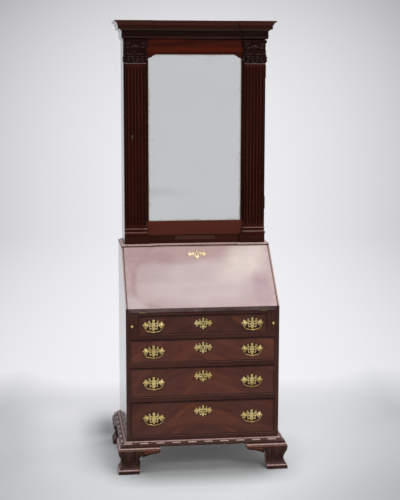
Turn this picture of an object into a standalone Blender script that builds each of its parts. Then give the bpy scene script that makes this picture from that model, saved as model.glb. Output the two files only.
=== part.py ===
# Secretary bookcase in mahogany: a slant-front desk with four long drawers on ogee
# bracket feet, and a shallow bookcase above with one mirrored door between pilasters.
# Metres, +Z up, the front faces -Y. The origin is under the middle of the object's box.

import math

import bmesh
import bpy
from mathutils import Matrix, Vector

# Clearances
gap = 0.0003                # between pieces that touch
drawer_gap = 0.0008         # round a drawer front
drawer_top_gap = 0.0018     # above it, so that it clears the open fall's escutcheon
slide_gap = 0.0005          # beside a drawer box, a loper or the candle slide
overrun = 0.01              # how far a cutter passes the faces that it opens
bite = 0.001                # how far joined shapes reach into each other
weld_distance = 0.00001
snap_digits = 6             # coordinates are rounded, so that shared planes agree

# Desk case
desk_width = 0.725
desk_depth = 0.535
desk_height = 1.032
slope_foot_height = 0.7853  # where the slope leaves the front of the case
desk_top_margin = 0.0075    # from the top of the slope to the waist moulding
side_thickness = 0.018
desk_top_thickness = 0.015
desk_back_thickness = 0.008
carcass_bottom = 0.1283
bottom_rail_top = 0.1685
bottom_rail_depth = 0.040
bottom_board_thickness = 0.014
drawer_rail_thickness = 0.0212
partition_thickness = 0.0170

# Fall front
fall_thickness = 0.0145
fall_lip_thickness = 0.0070
fall_lip_width = 0.0080
fall_hinge_length = 0.034
fall_hinge_inset = 0.060    # from the inside of the case to the middle of a hinge
fall_hinge_leaf = 0.024
barrel_radius = 0.0030
leaf_thickness = 0.0012
barrel_clearance = 0.0006

# Lopers
loper_width = 0.0205
loper_length = 0.40
knob_radius = 0.0050
knob_length = 0.0110
loper_knob_height_share = 0.46

# Drawers, their openings from the top down as shares of the height between the rails
drawer_height_shares = (0.1783, 0.2206, 0.2752, 0.3259)
drawer_front_thickness = 0.018
drawer_side_thickness = 0.010
drawer_bottom_thickness = 0.006
drawer_bottom_rise = 0.010
drawer_back_space = 0.020
drawer_side_drop = 0.012    # how far the sides stop below the top of the front
bead_width = 0.0035
bead_height = 0.0025

# Handles and escutcheons
handle_inset = 0.11125      # from the inside of the case to the middle of a handle
plate_width = 0.105
plate_height = 0.056
plate_thickness = 0.0012
post_radius = 0.0042
post_length = 0.0110
post_spread = 0.0730
bail_radius = 0.0022
bail_drop = 0.0320
bail_shoulder = 0.0065      # how far the bail passes outside its posts
bail_axis_share = 0.60      # of the length of a post
handle_height_shares = (0.50, 0.51, 0.50, 0.53)
escutcheon_width = 0.087
escutcheon_height = 0.055
escutcheon_height_shares = (0.54, 0.61, 0.68, 0.70)
keyhole_height = 0.0130
keyhole_width = 0.0036
fall_escutcheon_width = 0.0975
fall_escutcheon_height = 0.0600
fall_escutcheon_inset = 0.0520  # from the top edge of the fall to its middle

# Base moulding and feet
base_moulding_height = 0.0217
base_moulding_projection = 0.0290
foot_projection = 0.0410
foot_wing_length = 0.198
foot_side_wing_length = 0.185
foot_thickness = 0.022
foot_leg_width = 0.0975
foot_block_size = 0.050

# Upper case
upper_depth = 0.220
upper_side_thickness = 0.014
upper_top_thickness = 0.012
upper_top_drop = 0.008      # below the top of the cornice
upper_back_thickness = 0.008
floor_thickness = 0.012
shelf_thickness = 0.012
shelf_setback = 0.004
shelf_shares = (0.335, 0.665)
pilaster_projection = 0.012
door_thickness = 0.020
door_joint = 0.0020         # between the back of the door and the case
door_clearance = 0.0015     # above and below the door
door_height = 0.941
waist_height = 0.0115
waist_projection = 0.0185
plinth_height = 0.052
plinth_block_width = 0.1225
plinth_block_projection = 0.003
plinth_backing = 0.018

# Door
stile_width = 0.1185
top_rail_height = 0.071
bottom_rail_height = 0.068
mirror_thickness = 0.004
mirror_lap = 0.009
mirror_setback = 0.006
backboard_thickness = 0.006
corner_width = 0.034        # of the cusped upper corners of the opening
corner_height = 0.018
door_hinge_length = 0.060
door_hinge_reach = 0.0035   # from the edge of the door to the axis
door_hinge_leaf = 0.013
door_hinge_shares = (0.16, 0.84)

# Pilasters
shaft_width = 0.0945
shaft_margin = 0.0085       # from the door's edge to the shaft
base_height = 0.0340
base_projection = 0.0095
capital_height = 0.1110
capital_projection = 0.0110
capital_drop = 0.0030       # below the top of the door
flute_count = 6
flute_radius = 0.0048
flute_depth = 0.0036
flute_margin = 0.0160       # from a flute's end to the base or the capital
flute_sides = 12

# Cornice
cornice_height = 0.0865
cornice_projection = 0.0440

# Candle slide
slide_width = 0.197
slide_height = 0.0195
slide_depth = 0.150
slide_drop = 0.0030         # below the top of the plinth
slide_housing = 0.010
slide_lip = 0.0030          # how far its front stands out, to pull it by

# Pigeonholes inside the desk
fitment_setback = 0.0257    # behind the top of the slope
fitment_board = 0.006
fitment_tray_share = 0.29   # of the height behind the fall
fitment_columns = 7
fitment_tray_columns = 3

# Places that follow from the sizes
front = -(desk_depth - foot_projection) / 2
back = front + desk_depth
upper_front = back - upper_depth
slope_top = upper_front - plinth_block_projection - waist_projection - desk_top_margin
slope_setback = slope_top - front
rail_front = front + gap
desk_half = desk_width / 2
desk_inner = desk_half - side_thickness
desk_back_front = back - desk_back_thickness
slope = math.atan2(desk_height - slope_foot_height, slope_setback)
hinge_height = slope_foot_height - fall_thickness / math.cos(slope)
bed_top = hinge_height - gap
bed_bottom = hinge_height - fall_thickness
rise_of_fall = desk_height - gap - hinge_height - fall_thickness * math.cos(slope)
fall_length = rise_of_fall / math.sin(slope)
fitment_top = desk_height - desk_top_thickness - gap
fitment_front = slope_top + fitment_setback

rail_count = len(drawer_height_shares) - 1
drawers_height = bed_bottom - bottom_rail_top - rail_count * drawer_rail_thickness
drawer_heights = [share * drawers_height for share in drawer_height_shares]
drawer_4_bottom = bottom_rail_top
drawer_3_bottom = drawer_4_bottom + drawer_heights[3] + drawer_rail_thickness
drawer_2_bottom = drawer_3_bottom + drawer_heights[2] + drawer_rail_thickness
drawer_1_bottom = drawer_2_bottom + drawer_heights[1] + drawer_rail_thickness
drawer_1_half = desk_inner - loper_width - 2 * slide_gap - partition_thickness
drawer_bottoms = (drawer_1_bottom, drawer_2_bottom, drawer_3_bottom, drawer_4_bottom)
drawer_halves = (drawer_1_half, desk_inner, desk_inner, desk_inner)

upper_half = desk_half - waist_projection
upper_inner = upper_half - upper_side_thickness
upper_back_front = back - upper_back_thickness
door_face = upper_front + pilaster_projection
door_back = door_face + door_thickness
case_front = door_back + door_joint
upper_foot = desk_height + gap
plinth_top = desk_height + plinth_height
floor_top = plinth_top + floor_thickness
door_bottom = plinth_top + door_clearance
door_top = door_bottom + door_height
cornice_bottom = door_top + door_clearance
cornice_top = cornice_bottom + cornice_height
case_top = cornice_top - upper_top_drop
opening_half = upper_half - stile_width
opening_bottom = door_bottom + bottom_rail_height
opening_top = door_top - top_rail_height
shaft_middle = upper_half - shaft_margin - shaft_width / 2

# Colour, roughness and metallic value of each finish
finishes = {
    "case_mahogany": ((0.085, 0.022, 0.014), 0.32, 0.0),
    "upper_mahogany": ((0.045, 0.010, 0.007), 0.32, 0.0),
    "drawer_mahogany": ((0.120, 0.036, 0.020), 0.30, 0.0),
    "inside_wood": ((0.330, 0.190, 0.090), 0.65, 0.0),
    "brass": ((0.640, 0.470, 0.190), 0.30, 1.0),
    "mirror_glass": ((0.820, 0.830, 0.840), 0.05, 1.0),
}

# Outlines as shares of half a plate's width and half its height, right half, top first
plate_outline_share = (
    (0.00, 1.00), (0.10, 0.90), (0.15, 0.70), (0.25, 0.66), (0.33, 0.82), (0.45, 0.78),
    (0.50, 0.56), (0.62, 0.46), (0.74, 0.56), (0.84, 0.42), (0.88, 0.22), (1.00, 0.02),
    (0.90, -0.12), (0.80, -0.20), (0.76, -0.42), (0.62, -0.48), (0.50, -0.40),
    (0.42, -0.66), (0.28, -0.74), (0.18, -0.62), (0.12, -0.84), (0.00, -1.00),
)
piercing_shares = (
    ((0.22, 0.34), (0.36, 0.52), (0.42, 0.30), (0.30, 0.16)),
    ((0.20, -0.30), (0.32, -0.16), (0.42, -0.28), (0.30, -0.50)),
)
bail_shares = (
    (0.965, 0.02), (1.00, -0.08), (0.99, -0.26), (0.93, -0.48), (0.81, -0.69),
    (0.62, -0.86), (0.38, -0.96), (0.13, -1.00),
)
bail_swell_shares = (0.80, 0.85, 0.90, 0.92, 0.95, 1.00, 1.08, 1.18, 1.25)
keyhole_share = (
    (-0.5, -0.5), (-0.32, 0.08), (-0.5, 0.3), (0.0, 0.5), (0.5, 0.3), (0.32, 0.08),
    (0.5, -0.5),
)

# Outlines of mouldings as shares of their projection and height, up the outer side
base_moulding_share = (
    (0.0, 0.0), (1.0, 0.0), (1.0, 0.26), (0.92, 0.40), (0.76, 0.48), (0.70, 0.56),
    (0.44, 0.68), (0.26, 0.84), (0.22, 1.0), (0.0, 1.0),
)
waist_moulding_share = (
    (0.0, 0.0), (0.92, 0.0), (1.0, 0.20), (1.0, 0.50), (0.82, 0.66), (0.50, 0.78),
    (0.34, 1.0), (0.0, 1.0),
)
foot_share = (
    (1.00, 0.0), (1.00, 0.11), (0.92, 0.165), (0.78, 0.20), (0.66, 0.29), (0.60, 0.39),
    (0.64, 0.49), (0.78, 0.60), (0.94, 0.70), (1.00, 0.80), (0.97, 0.89), (0.86, 0.96),
    (0.74, 1.0),
)
cornice_share = (
    (0.0, 0.0), (0.12, 0.02), (0.21, 0.07), (0.25, 0.115), (0.20, 0.125), (0.20, 0.44),
    (0.30, 0.47), (0.42, 0.53), (0.60, 0.535), (0.62, 0.75), (0.70, 0.765),
    (0.72, 0.82), (0.80, 0.88), (0.93, 0.92), (1.0, 0.955), (1.0, 1.0), (0.0, 1.0),
)
pilaster_base_share = (
    (0.80, 0.0), (1.0, 0.12), (1.0, 0.34), (0.80, 0.46), (0.46, 0.52), (0.40, 0.66),
    (0.56, 0.74), (0.74, 0.80), (0.74, 0.92), (0.50, 0.97), (0.20, 1.0),
)
capital_share = (
    (0.28, 0.0), (0.40, 0.015), (0.28, 0.035), (0.10, 0.05), (0.16, 0.30), (0.34, 0.38),
    (0.20, 0.42), (0.26, 0.62), (0.52, 0.70), (0.34, 0.74), (0.46, 0.84), (0.84, 0.90),
    (0.92, 0.92), (1.0, 0.94), (1.0, 1.0),
)
# Outline under a wing, across from the leg to the tip and up
arch_share = (
    (0.0, 0.0), (0.03, 0.20), (0.055, 0.39), (0.01, 0.59), (0.12, 0.69), (0.175, 0.615),
    (0.35, 0.68), (0.55, 0.735), (0.80, 0.765), (1.0, 0.81),
)
corner_share = ((0.0, 0.0), (0.30, 0.20), (0.55, 0.26), (0.58, 0.60), (0.78, 0.68), (1.0, 1.0))

cutters = None
parts = None


def clear_scene():
    for item in list(bpy.data.objects):
        bpy.data.objects.remove(item, do_unlink=True)


def new_collection(name):
    collection = bpy.data.collections.new(name)
    bpy.context.scene.collection.children.link(collection)
    return collection


def finish(item, kind):
    color, roughness, metallic = finishes[kind]
    material = bpy.data.materials.new(f"{item.name}_{kind}")
    material.use_nodes = True
    shader = material.node_tree.nodes["Principled BSDF"]
    shader.inputs["Base Color"].default_value = (*color, 1.0)
    shader.inputs["Roughness"].default_value = roughness
    shader.inputs["Metallic"].default_value = metallic
    material.diffuse_color = (*color, 1.0)
    item.data.materials.clear()
    item.data.materials.append(material)
    return item


# Shapes. Each function makes one object, with its place in its mesh.


def add_mesh(name, shape):
    for vertex in shape.verts:
        vertex.co = [round(value, snap_digits) for value in vertex.co]
    for face in shape.faces:
        face.smooth = False
    bmesh.ops.recalc_face_normals(shape, faces=shape.faces)
    if shape.calc_volume(signed=True) < 0:
        bmesh.ops.reverse_faces(shape, faces=shape.faces)
    mesh = bpy.data.meshes.new(name)
    shape.to_mesh(mesh)
    shape.free()
    item = bpy.data.objects.new(name, mesh)
    parts.objects.link(item)
    return item


def box(name, *spans):
    # Each group of three spans is one block: low and high in X, Y and Z.
    shape = bmesh.new()
    for index in range(0, len(spans), 3):
        block = spans[index:index + 3]
        middle = Vector([(low + high) / 2 for low, high in block])
        sizes = [high - low for low, high in block]
        placed = Matrix.Translation(middle) @ Matrix.Diagonal((*sizes, 1))
        bmesh.ops.create_cube(shape, size=1, matrix=placed)
    return add_mesh(name, shape)


def rod(name, start, end, radius, sides=24):
    start, end = Vector(start), Vector(end)
    shape = bmesh.new()
    bmesh.ops.create_cone(
        shape, cap_ends=True, segments=sides, radius1=radius, radius2=radius,
        depth=(end - start).length,
    )
    turn = (end - start).to_track_quat("Z", "Y").to_matrix().to_4x4()
    shape.transform(Matrix.Translation((start + end) / 2) @ turn)
    return add_mesh(name, shape)


def new_curve(name, loops, cyclic=True):
    curve = bpy.data.curves.new(name, "CURVE")
    curve.dimensions = "2D"
    for loop in loops:
        spline = curve.splines.new("POLY")
        spline.points.add(len(loop) - 1)
        for point, (x, y) in zip(spline.points, loop):
            point.co = (x, y, 0, 1)
        spline.use_cyclic_u = cyclic
    item = bpy.data.objects.new(name, curve)
    parts.objects.link(item)
    return item


def to_mesh(item, placed=None):
    # The loose caps are welded, and the new object takes the old one's place.
    bpy.context.view_layer.update()
    graph = bpy.context.evaluated_depsgraph_get()
    mesh = bpy.data.meshes.new_from_object(item.evaluated_get(graph))
    shape = bmesh.new()
    shape.from_mesh(mesh)
    bpy.data.meshes.remove(mesh)
    bmesh.ops.remove_doubles(shape, verts=shape.verts, dist=weld_distance)
    shape.transform(placed if placed else item.matrix_world)
    name = item.name
    item.name = name + "_shape"
    bpy.data.objects.remove(item, do_unlink=True)
    return add_mesh(name, shape)


def front_board(name, loops, low, high):
    # Outlines in X and Z, from low to high in Y.
    curve = new_curve(name, loops)
    curve.data.fill_mode = "BOTH"
    curve.data.extrude = (high - low) / 2
    stand = Matrix.Rotation(math.pi / 2, 4, "X")
    return to_mesh(curve, Matrix.Translation((0, (low + high) / 2, 0)) @ stand)


def side_board(name, loop, low, high):
    # An outline in Y and Z, from low to high in X.
    curve = new_curve(name, [loop])
    curve.data.fill_mode = "BOTH"
    curve.data.extrude = (high - low) / 2
    stand = Matrix(((0, 0, 1, 0), (1, 0, 0, 0), (0, 1, 0, 0), (0, 0, 0, 1)))
    return to_mesh(curve, Matrix.Translation(((low + high) / 2, 0, 0)) @ stand)


def moulding(name, path, profile, height):
    # A closed profile, out and up, swept along a path in plan with mitred corners.
    # The path runs from the left at the back, past the front, to the right.
    section = new_curve(name + "_section", [profile])
    run = new_curve(name, [path], cyclic=False)
    run.location.z = height
    run.data.fill_mode = "NONE"
    run.data.bevel_mode = "OBJECT"
    run.data.bevel_object = section
    run.data.use_fill_caps = True
    item = to_mesh(run)
    bpy.data.objects.remove(section, do_unlink=True)
    return item


def turned(name, profile, start, turn, sides=16):
    # A profile of radius and height, from the top down its outer side to the axis.
    mesh = bpy.data.meshes.new(name)
    points = [(radius, 0, height) for radius, height in profile]
    mesh.from_pydata(points, [(i, i + 1) for i in range(len(points) - 1)], [])
    item = bpy.data.objects.new(name, mesh)
    parts.objects.link(item)
    screw = item.modifiers.new("turn", "SCREW")
    screw.steps = screw.render_steps = sides
    screw.use_merge_vertices = True
    screw.merge_threshold = weld_distance
    item.matrix_world = Matrix.Translation(start) @ turn
    return to_mesh(item, Matrix.Translation(start) @ turn)


def scaled(shares, width, height, x=0, y=0):
    return [(x + a * width, y + b * height) for a, b in shares]


def mirrored(half):
    # A closed outline from its right half, whose ends lie on the middle line.
    return list(half) + [(-x, y) for x, y in reversed(half) if x > weld_distance]


def set_aside(tool):
    tool.display_type = "WIRE"
    tool.hide_render = True
    for collection in list(tool.users_collection):
        collection.objects.unlink(tool)
    cutters.objects.link(tool)


def combine(item, tool, operation):
    modifier = item.modifiers.new(tool.name, "BOOLEAN")
    modifier.operation = operation
    modifier.solver = "EXACT"
    modifier.object = tool
    set_aside(tool)


def cut(item, tool):
    combine(item, tool, "DIFFERENCE")


def join(item, tool):
    combine(item, tool, "UNION")


def pivot(item, point):
    # Moves the object's origin to the point and leaves its shape in place.
    item.data.transform(Matrix.Translation(-Vector(point)))
    item.location = point
    return item


def both(value):
    return (-value, value)


def slope_point(along, normal):
    # A point beside the inner face of the closed fall, measured from its hinge.
    return (
        front + along * math.cos(slope) - normal * math.sin(slope),
        hinge_height + along * math.sin(slope) + normal * math.cos(slope),
    )


def sides_of(value):
    return (("left", -value), ("right", value))


# Desk case


def desk_side(name, side):
    slope_run = (desk_height - gap - slope_foot_height) / math.tan(slope)
    loop = [
        (front, carcass_bottom), (front, slope_foot_height),
        (front + slope_run, desk_height - gap), (back, desk_height - gap),
        (back, carcass_bottom),
    ]
    edges = sorted((side * desk_inner, side * desk_half))
    item = side_board(name, loop, *edges)
    floor = fall_thickness - fall_lip_thickness - gap
    rebate = [
        slope_point(-overrun, floor), slope_point(fall_length + gap, floor),
        slope_point(fall_length + gap, fall_thickness + overrun),
        slope_point(-overrun * 2, fall_thickness + overrun),
    ]
    edges = sorted((side * (desk_inner - overrun), side * (desk_inner + fall_lip_width)))
    cut(item, side_board(name + "_rebate", rebate, *edges))
    return finish(item, "case_mahogany")


def desk_top():
    start = slope_point(fall_length + gap, 0)
    top_y = start[0] - (desk_height - start[1]) * math.tan(slope)
    low = desk_height - desk_top_thickness
    low_y = start[0] - (low - start[1]) * math.tan(slope)
    loop = [(top_y, desk_height), (back, desk_height), (back, low), (low_y, low)]
    item = side_board("desk_top", loop, *both(desk_inner - gap))
    side = upper_half + gap
    block = upper_half - plinth_block_width - gap
    block_front = upper_front - plinth_block_projection - gap
    rail = door_face - gap
    half_path = [(side, back), (side, block_front), (block, block_front), (block, rail)]
    path = [(-x, y) for x, y in half_path] + list(reversed(half_path))
    seat = gap / 2
    profile = scaled(waist_moulding_share, waist_projection, waist_height + seat)
    join(item, moulding("waist_moulding", path, profile, desk_height - seat))
    return finish(item, "case_mahogany")


def desk_bottom():
    board = bottom_rail_top - bottom_board_thickness
    loop = [
        (rail_front, carcass_bottom), (rail_front, bottom_rail_top),
        (desk_back_front - gap, bottom_rail_top), (desk_back_front - gap, board),
        (rail_front + bottom_rail_depth, board),
        (rail_front + bottom_rail_depth, carcass_bottom),
    ]
    item = side_board("desk_bottom", loop, *both(desk_inner - gap))
    return finish(item, "case_mahogany")


def desk_back():
    item = box(
        "desk_back", both(desk_inner - gap), (desk_back_front, back),
        (carcass_bottom, fitment_top),
    )
    return finish(item, "inside_wood")


def loper_frame():
    # The writing bed, the first drawer rail and the partitions beside the lopers.
    depth = (rail_front, desk_back_front - gap)
    item = box(
        "loper_frame", both(desk_inner - gap), depth,
        (drawer_1_bottom - drawer_rail_thickness, bed_top),
    )
    through = (rail_front - overrun, desk_back_front + overrun)
    level = (drawer_1_bottom, bed_bottom)
    slot = drawer_1_half + partition_thickness
    cut(item, box(
        "loper_frame_openings", both(drawer_1_half), through, level,
        (slot, desk_inner + overrun), through, level,
        (-desk_inner - overrun, -slot), through, level,
    ))
    seats = []
    for _, x in sides_of(desk_inner - fall_hinge_inset):
        seats += [
            (x - fall_hinge_length / 2 - gap, x + fall_hinge_length / 2 + gap),
            (front - overrun, front + fall_hinge_leaf + gap),
            (bed_top - leaf_thickness - gap, bed_top + overrun),
        ]
    cut(item, box("fall_hinge_seats", *seats))
    for side, x in sides_of(desk_inner - fall_hinge_inset):
        cut(item, barrel_cutter(f"bed_barrel_{side}", x))
    return finish(item, "case_mahogany")


def drawer_rail(name, top):
    item = box(
        name, both(desk_inner - gap), (rail_front, desk_back_front - gap),
        (top - drawer_rail_thickness, top),
    )
    return finish(item, "case_mahogany")


# Fall front


def barrel_cutter(name, x):
    reach = fall_hinge_length / 2 + gap
    return rod(
        name, (x - reach, front, hinge_height), (x + reach, front, hinge_height),
        barrel_radius + barrel_clearance, 16,
    )


def fall_hinge(name, x):
    half = fall_hinge_length / 2
    item = box(
        name, (x - half, x + half), (front, front + fall_hinge_leaf),
        (bed_top - leaf_thickness, bed_top),
    )
    start, end = (x - half, front, hinge_height), (x + half, front, hinge_height)
    join(item, rod(name + "_barrel", start, end, barrel_radius, 12))
    return finish(item, "brass")


def slope_outline(low, high, over=0):
    # A slanted board between two planes beside the inner face of the fall, from the
    # front of the case to the fall's top end.
    return [
        slope_point(low * math.tan(slope) - over, low), slope_point(fall_length + over, low),
        slope_point(fall_length + over, high), slope_point(high * math.tan(slope) - over, high),
    ]


def fall_front():
    half = desk_inner + fall_lip_width - gap
    item = side_board("fall_front", slope_outline(0, fall_thickness), *both(half))
    under_lip = slope_outline(-overrun, fall_thickness - fall_lip_thickness, overrun)
    for side, sign in sides_of(1):
        edges = sorted((sign * (desk_inner - slide_gap), sign * (half + overrun)))
        cut(item, side_board(f"fall_rebate_{side}", under_lip, *edges))
    for side, x in sides_of(desk_inner - fall_hinge_inset):
        cut(item, barrel_cutter(f"fall_barrel_{side}", x))
    return pivot(finish(item, "case_mahogany"), (0, front, hinge_height))


def pierced_plate(name, width, height, keyhole):
    # A plate in X and Z about the origin, its back at Y 0, facing -Y.
    half = scaled(plate_outline_share, width / 2, height / 2)
    loops = [mirrored(half)]
    for shares in piercing_shares:
        hole = scaled(shares, width / 2, height / 2)
        loops += [hole, [(-x, y) for x, y in hole]]
    if keyhole:
        loops.append(scaled(keyhole_share, keyhole_width, keyhole_height))
    return front_board(name, loops, -plate_thickness, 0)


def fall_escutcheon():
    item = pierced_plate(
        "fall_escutcheon", fall_escutcheon_width, fall_escutcheon_height, True
    )
    y, z = slope_point(fall_length - fall_escutcheon_inset, fall_thickness + gap)
    tilt = Matrix.Rotation(slope - math.pi / 2, 4, "X")
    item.data.transform(Matrix.Translation((0, y, z)) @ tilt)
    return pivot(finish(item, "brass"), (0, front, hinge_height))


# Lopers


def knob(name, place):
    # A small turned knob that points to -Y, its foot sunk into what carries it.
    radius, length = knob_radius, knob_length
    profile = [
        (0, length), (radius * 0.6, length * 0.96), (radius * 0.95, length * 0.80),
        (radius, length * 0.64), (radius * 0.8, length * 0.48),
        (radius * 0.5, length * 0.34), (radius * 0.55, length * 0.16),
        (radius * 0.9, length * 0.08), (radius * 0.9, -bite), (0, -bite),
    ]
    return turned(name, profile, place, Matrix.Rotation(math.pi / 2, 4, "X"))


def loper(name, side):
    outer = desk_inner - slide_gap
    edges = sorted((side * outer, side * (outer - loper_width)))
    level = (drawer_1_bottom + gap, bed_bottom - gap)
    item = box(name, edges, (rail_front, rail_front + loper_length), level)
    x = side * (outer - loper_width / 2)
    z = level[0] + (level[1] - level[0]) * loper_knob_height_share
    join(item, knob(name + "_knob", (x, rail_front, z)))
    return pivot(finish(item, "case_mahogany"), (x, rail_front, level[0]))


# Drawers


def drawer(number):
    half = drawer_halves[number - 1]
    low, height = drawer_bottoms[number - 1], drawer_heights[number - 1]
    name = f"drawer_{number}"
    front_half = half - drawer_gap
    front_low, front_high = low + drawer_gap, low + height - drawer_top_gap
    face_back = rail_front + drawer_front_thickness
    item = box(
        name, both(front_half), (rail_front - bead_height, face_back),
        (front_low, front_high),
    )
    cut(item, box(
        name + "_panel", both(front_half - bead_width),
        (rail_front - bead_height - overrun, rail_front),
        (front_low + bead_width, front_high - bead_width),
    ))
    box_half = half - slide_gap
    box_back = desk_back_front - drawer_back_space
    box_top = front_high - drawer_side_drop
    tray = box(
        name + "_tray", both(box_half), (face_back - bite, box_back),
        (low + gap, box_top),
    )
    join(item, tray)
    inside = both(box_half - drawer_side_thickness)
    depth = (face_back, box_back - drawer_side_thickness)
    floor = low + drawer_bottom_rise
    cut(item, box(
        name + "_inside", inside, depth,
        (floor + drawer_bottom_thickness, box_top + overrun),
        inside, depth, (low - overrun, floor),
    ))
    return pivot(finish(item, "drawer_mahogany"), (0, rail_front, low))


def handle_plate(name, x, z):
    item = pierced_plate(name, plate_width, plate_height, False)
    for side, post_x in sides_of(post_spread / 2):
        join(item, rod(
            f"{name}_post_{side}", (post_x, -plate_thickness / 2, 0),
            (post_x, -plate_thickness - post_length, 0), post_radius, 12,
        ))
    place(item, (x, rail_front - gap, z))
    return finish(item, "brass")


def place(item, point):
    # Moves a piece and the shapes joined to it.
    item.location = point
    for modifier in item.modifiers:
        modifier.object.location = point


def bail(name, x, z):
    start = post_spread / 2 + post_radius + gap
    outer = start + bail_shoulder
    half = [(start, 0)] + scaled(bail_shares, outer, bail_drop)
    points = half + [(-a, b) for a, b in reversed(half)]
    swells = bail_swell_shares + tuple(reversed(bail_swell_shares))
    curve = bpy.data.curves.new(name, "CURVE")
    curve.dimensions = "3D"
    curve.bevel_depth = bail_radius
    curve.bevel_resolution = 2
    curve.use_fill_caps = True
    spline = curve.splines.new("POLY")
    spline.points.add(len(points) - 1)
    for point, (a, b), swell in zip(spline.points, points, swells):
        point.co = (a, 0, b, 1)
        point.radius = swell
    item = bpy.data.objects.new(name, curve)
    parts.objects.link(item)
    item = to_mesh(item)
    y = rail_front - gap - plate_thickness - post_length * bail_axis_share
    item.location = (x, y, z)
    return finish(item, "brass")


def escutcheon(name, z):
    item = pierced_plate(name, escutcheon_width, escutcheon_height, True)
    item.location = (0, rail_front - gap, z)
    return finish(item, "brass")


def dress_drawer(number):
    low, height = drawer_bottoms[number - 1], drawer_heights[number - 1]
    z = low + height * handle_height_shares[number - 1]
    for side, x in sides_of(desk_inner - handle_inset):
        handle_plate(f"handle_plate_{number}_{side}", x, z)
        bail(f"bail_{number}_{side}", x, z)
    z = low + height * escutcheon_height_shares[number - 1]
    escutcheon(f"escutcheon_{number}", z)


# Base


def base_moulding():
    side = desk_half + gap
    path = [(-side, back), (-side, front - gap), (side, front - gap), (side, back)]
    profile = scaled(base_moulding_share, base_moulding_projection, base_moulding_height)
    item = moulding("base_moulding", path, profile, carcass_bottom)
    return finish(item, "case_mahogany")


def foot_profile():
    top = carcass_bottom - gap
    outer = scaled(foot_share, foot_projection, top)
    return [(-foot_thickness, 0)] + outer + [(-foot_thickness, top)]


def wing_arch(length):
    # The opening under a wing, by its distance from the corner of the foot.
    top = carcass_bottom - gap
    arch = scaled(arch_share, length - foot_leg_width, top, foot_leg_width)
    past = length + overrun
    return [(foot_leg_width, -overrun)] + arch + [(past, arch[-1][1]), (past, -overrun)]


def foot(name, side, at_front):
    top = carcass_bottom - gap
    edge = side * desk_half
    corner_x = side * (desk_half + foot_projection)
    inward = 1 if at_front else -1
    plane = front if at_front else back
    corner_y = front - foot_projection if at_front else back
    path = [(edge, corner_y + inward * foot_side_wing_length), (edge, plane)]
    if at_front:
        path.append((corner_x - side * foot_wing_length, plane))
    if at_front == (side > 0):
        path.reverse()
    item = moulding(name, path, foot_profile(), 0)
    if not at_front:
        board = sorted((edge - side * bite, corner_x - side * foot_leg_width))
        depth = (back - foot_thickness, back)
        join(item, box(name + "_back_board", board, depth, (0, top)))
    block_x = sorted((edge - side * bite, edge - side * foot_block_size))
    block_y = sorted((
        plane + inward * (foot_thickness - bite), plane + inward * foot_block_size
    ))
    join(item, box(name + "_block", block_x, block_y, (0, top)))
    edges = sorted((side * (desk_half - foot_block_size), corner_x + side * overrun))
    arch = [(corner_y + inward * u, v) for u, v in wing_arch(foot_side_wing_length)]
    cut(item, side_board(name + "_side_arch", arch, *edges))
    if at_front:
        arch = [(corner_x - side * u, v) for u, v in wing_arch(foot_wing_length)]
        depth = (corner_y - overrun, front + foot_block_size)
        cut(item, front_board(name + "_front_arch", [arch], *depth))
    return finish(item, "case_mahogany")


# Upper case


def upper_side(name, side):
    edges = sorted((side * upper_inner, side * upper_half))
    item = box(name, edges, (case_front, back), (upper_foot, case_top))
    return finish(item, "upper_mahogany")


def upper_top():
    item = box(
        "upper_top", both(upper_inner - gap), (case_front, back),
        (case_top - upper_top_thickness, case_top),
    )
    return finish(item, "inside_wood")


def upper_back():
    item = box(
        "upper_back", both(upper_inner - gap), (upper_back_front, back),
        (upper_foot, case_top - upper_top_thickness - gap),
    )
    return finish(item, "inside_wood")


def upper_base():
    # The plinth under the door with its two blocks, the floor of the case and the
    # housing of the candle slide, glued up as one.
    start = upper_front - plinth_block_projection
    floor_back = upper_back_front - gap
    item = box("upper_base", both(upper_half), (start, floor_back), (upper_foot, floor_top))
    low, high = upper_foot - overrun, floor_top + overrun
    middle = both(upper_half - plinth_block_width)
    cut(item, box("plinth_recess", middle, (start - overrun, door_face), (low, high)))
    cut(item, box(
        "plinth_step", both(upper_half + overrun), (start - overrun, case_front),
        (plinth_top, high),
    ))
    for side, sign in sides_of(1):
        edges = sorted((sign * (upper_inner - gap), sign * (upper_half + overrun)))
        cut(item, box(
            f"plinth_corner_{side}", edges, (case_front - gap, back), (low, high)
        ))
    slide_top = plinth_top - slide_drop
    slide_bottom = slide_top - slide_height
    inner_front = case_front + plinth_backing
    space = box("plinth_space", both(upper_half), (inner_front, back), (low, plinth_top))
    cut(space, box(
        "slide_housing", both(slide_width / 2 + slide_housing),
        (inner_front - overrun, door_face + slide_depth + slide_housing),
        (slide_bottom - slide_housing, high),
    ))
    cut(item, space)
    cut(item, box(
        "slide_space", both(slide_width / 2 + slide_gap),
        (door_face - overrun, door_face + slide_depth + slide_gap),
        (slide_bottom - gap, slide_top + gap),
    ))
    return finish(item, "upper_mahogany")


def candle_slide():
    top = plinth_top - slide_drop
    low = top - slide_height
    depth = (door_face - slide_lip, door_face + slide_depth)
    item = box("candle_slide", both(slide_width / 2), depth, (low, top))
    return pivot(finish(item, "upper_mahogany"), (0, door_face, low))


def shelf(name, share):
    space = case_top - upper_top_thickness - floor_top
    z = floor_top + space * share
    item = box(
        name, both(upper_inner - gap), (case_front + shelf_setback, upper_back_front - gap),
        (z - shelf_thickness / 2, z + shelf_thickness / 2),
    )
    return finish(item, "inside_wood")


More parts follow.
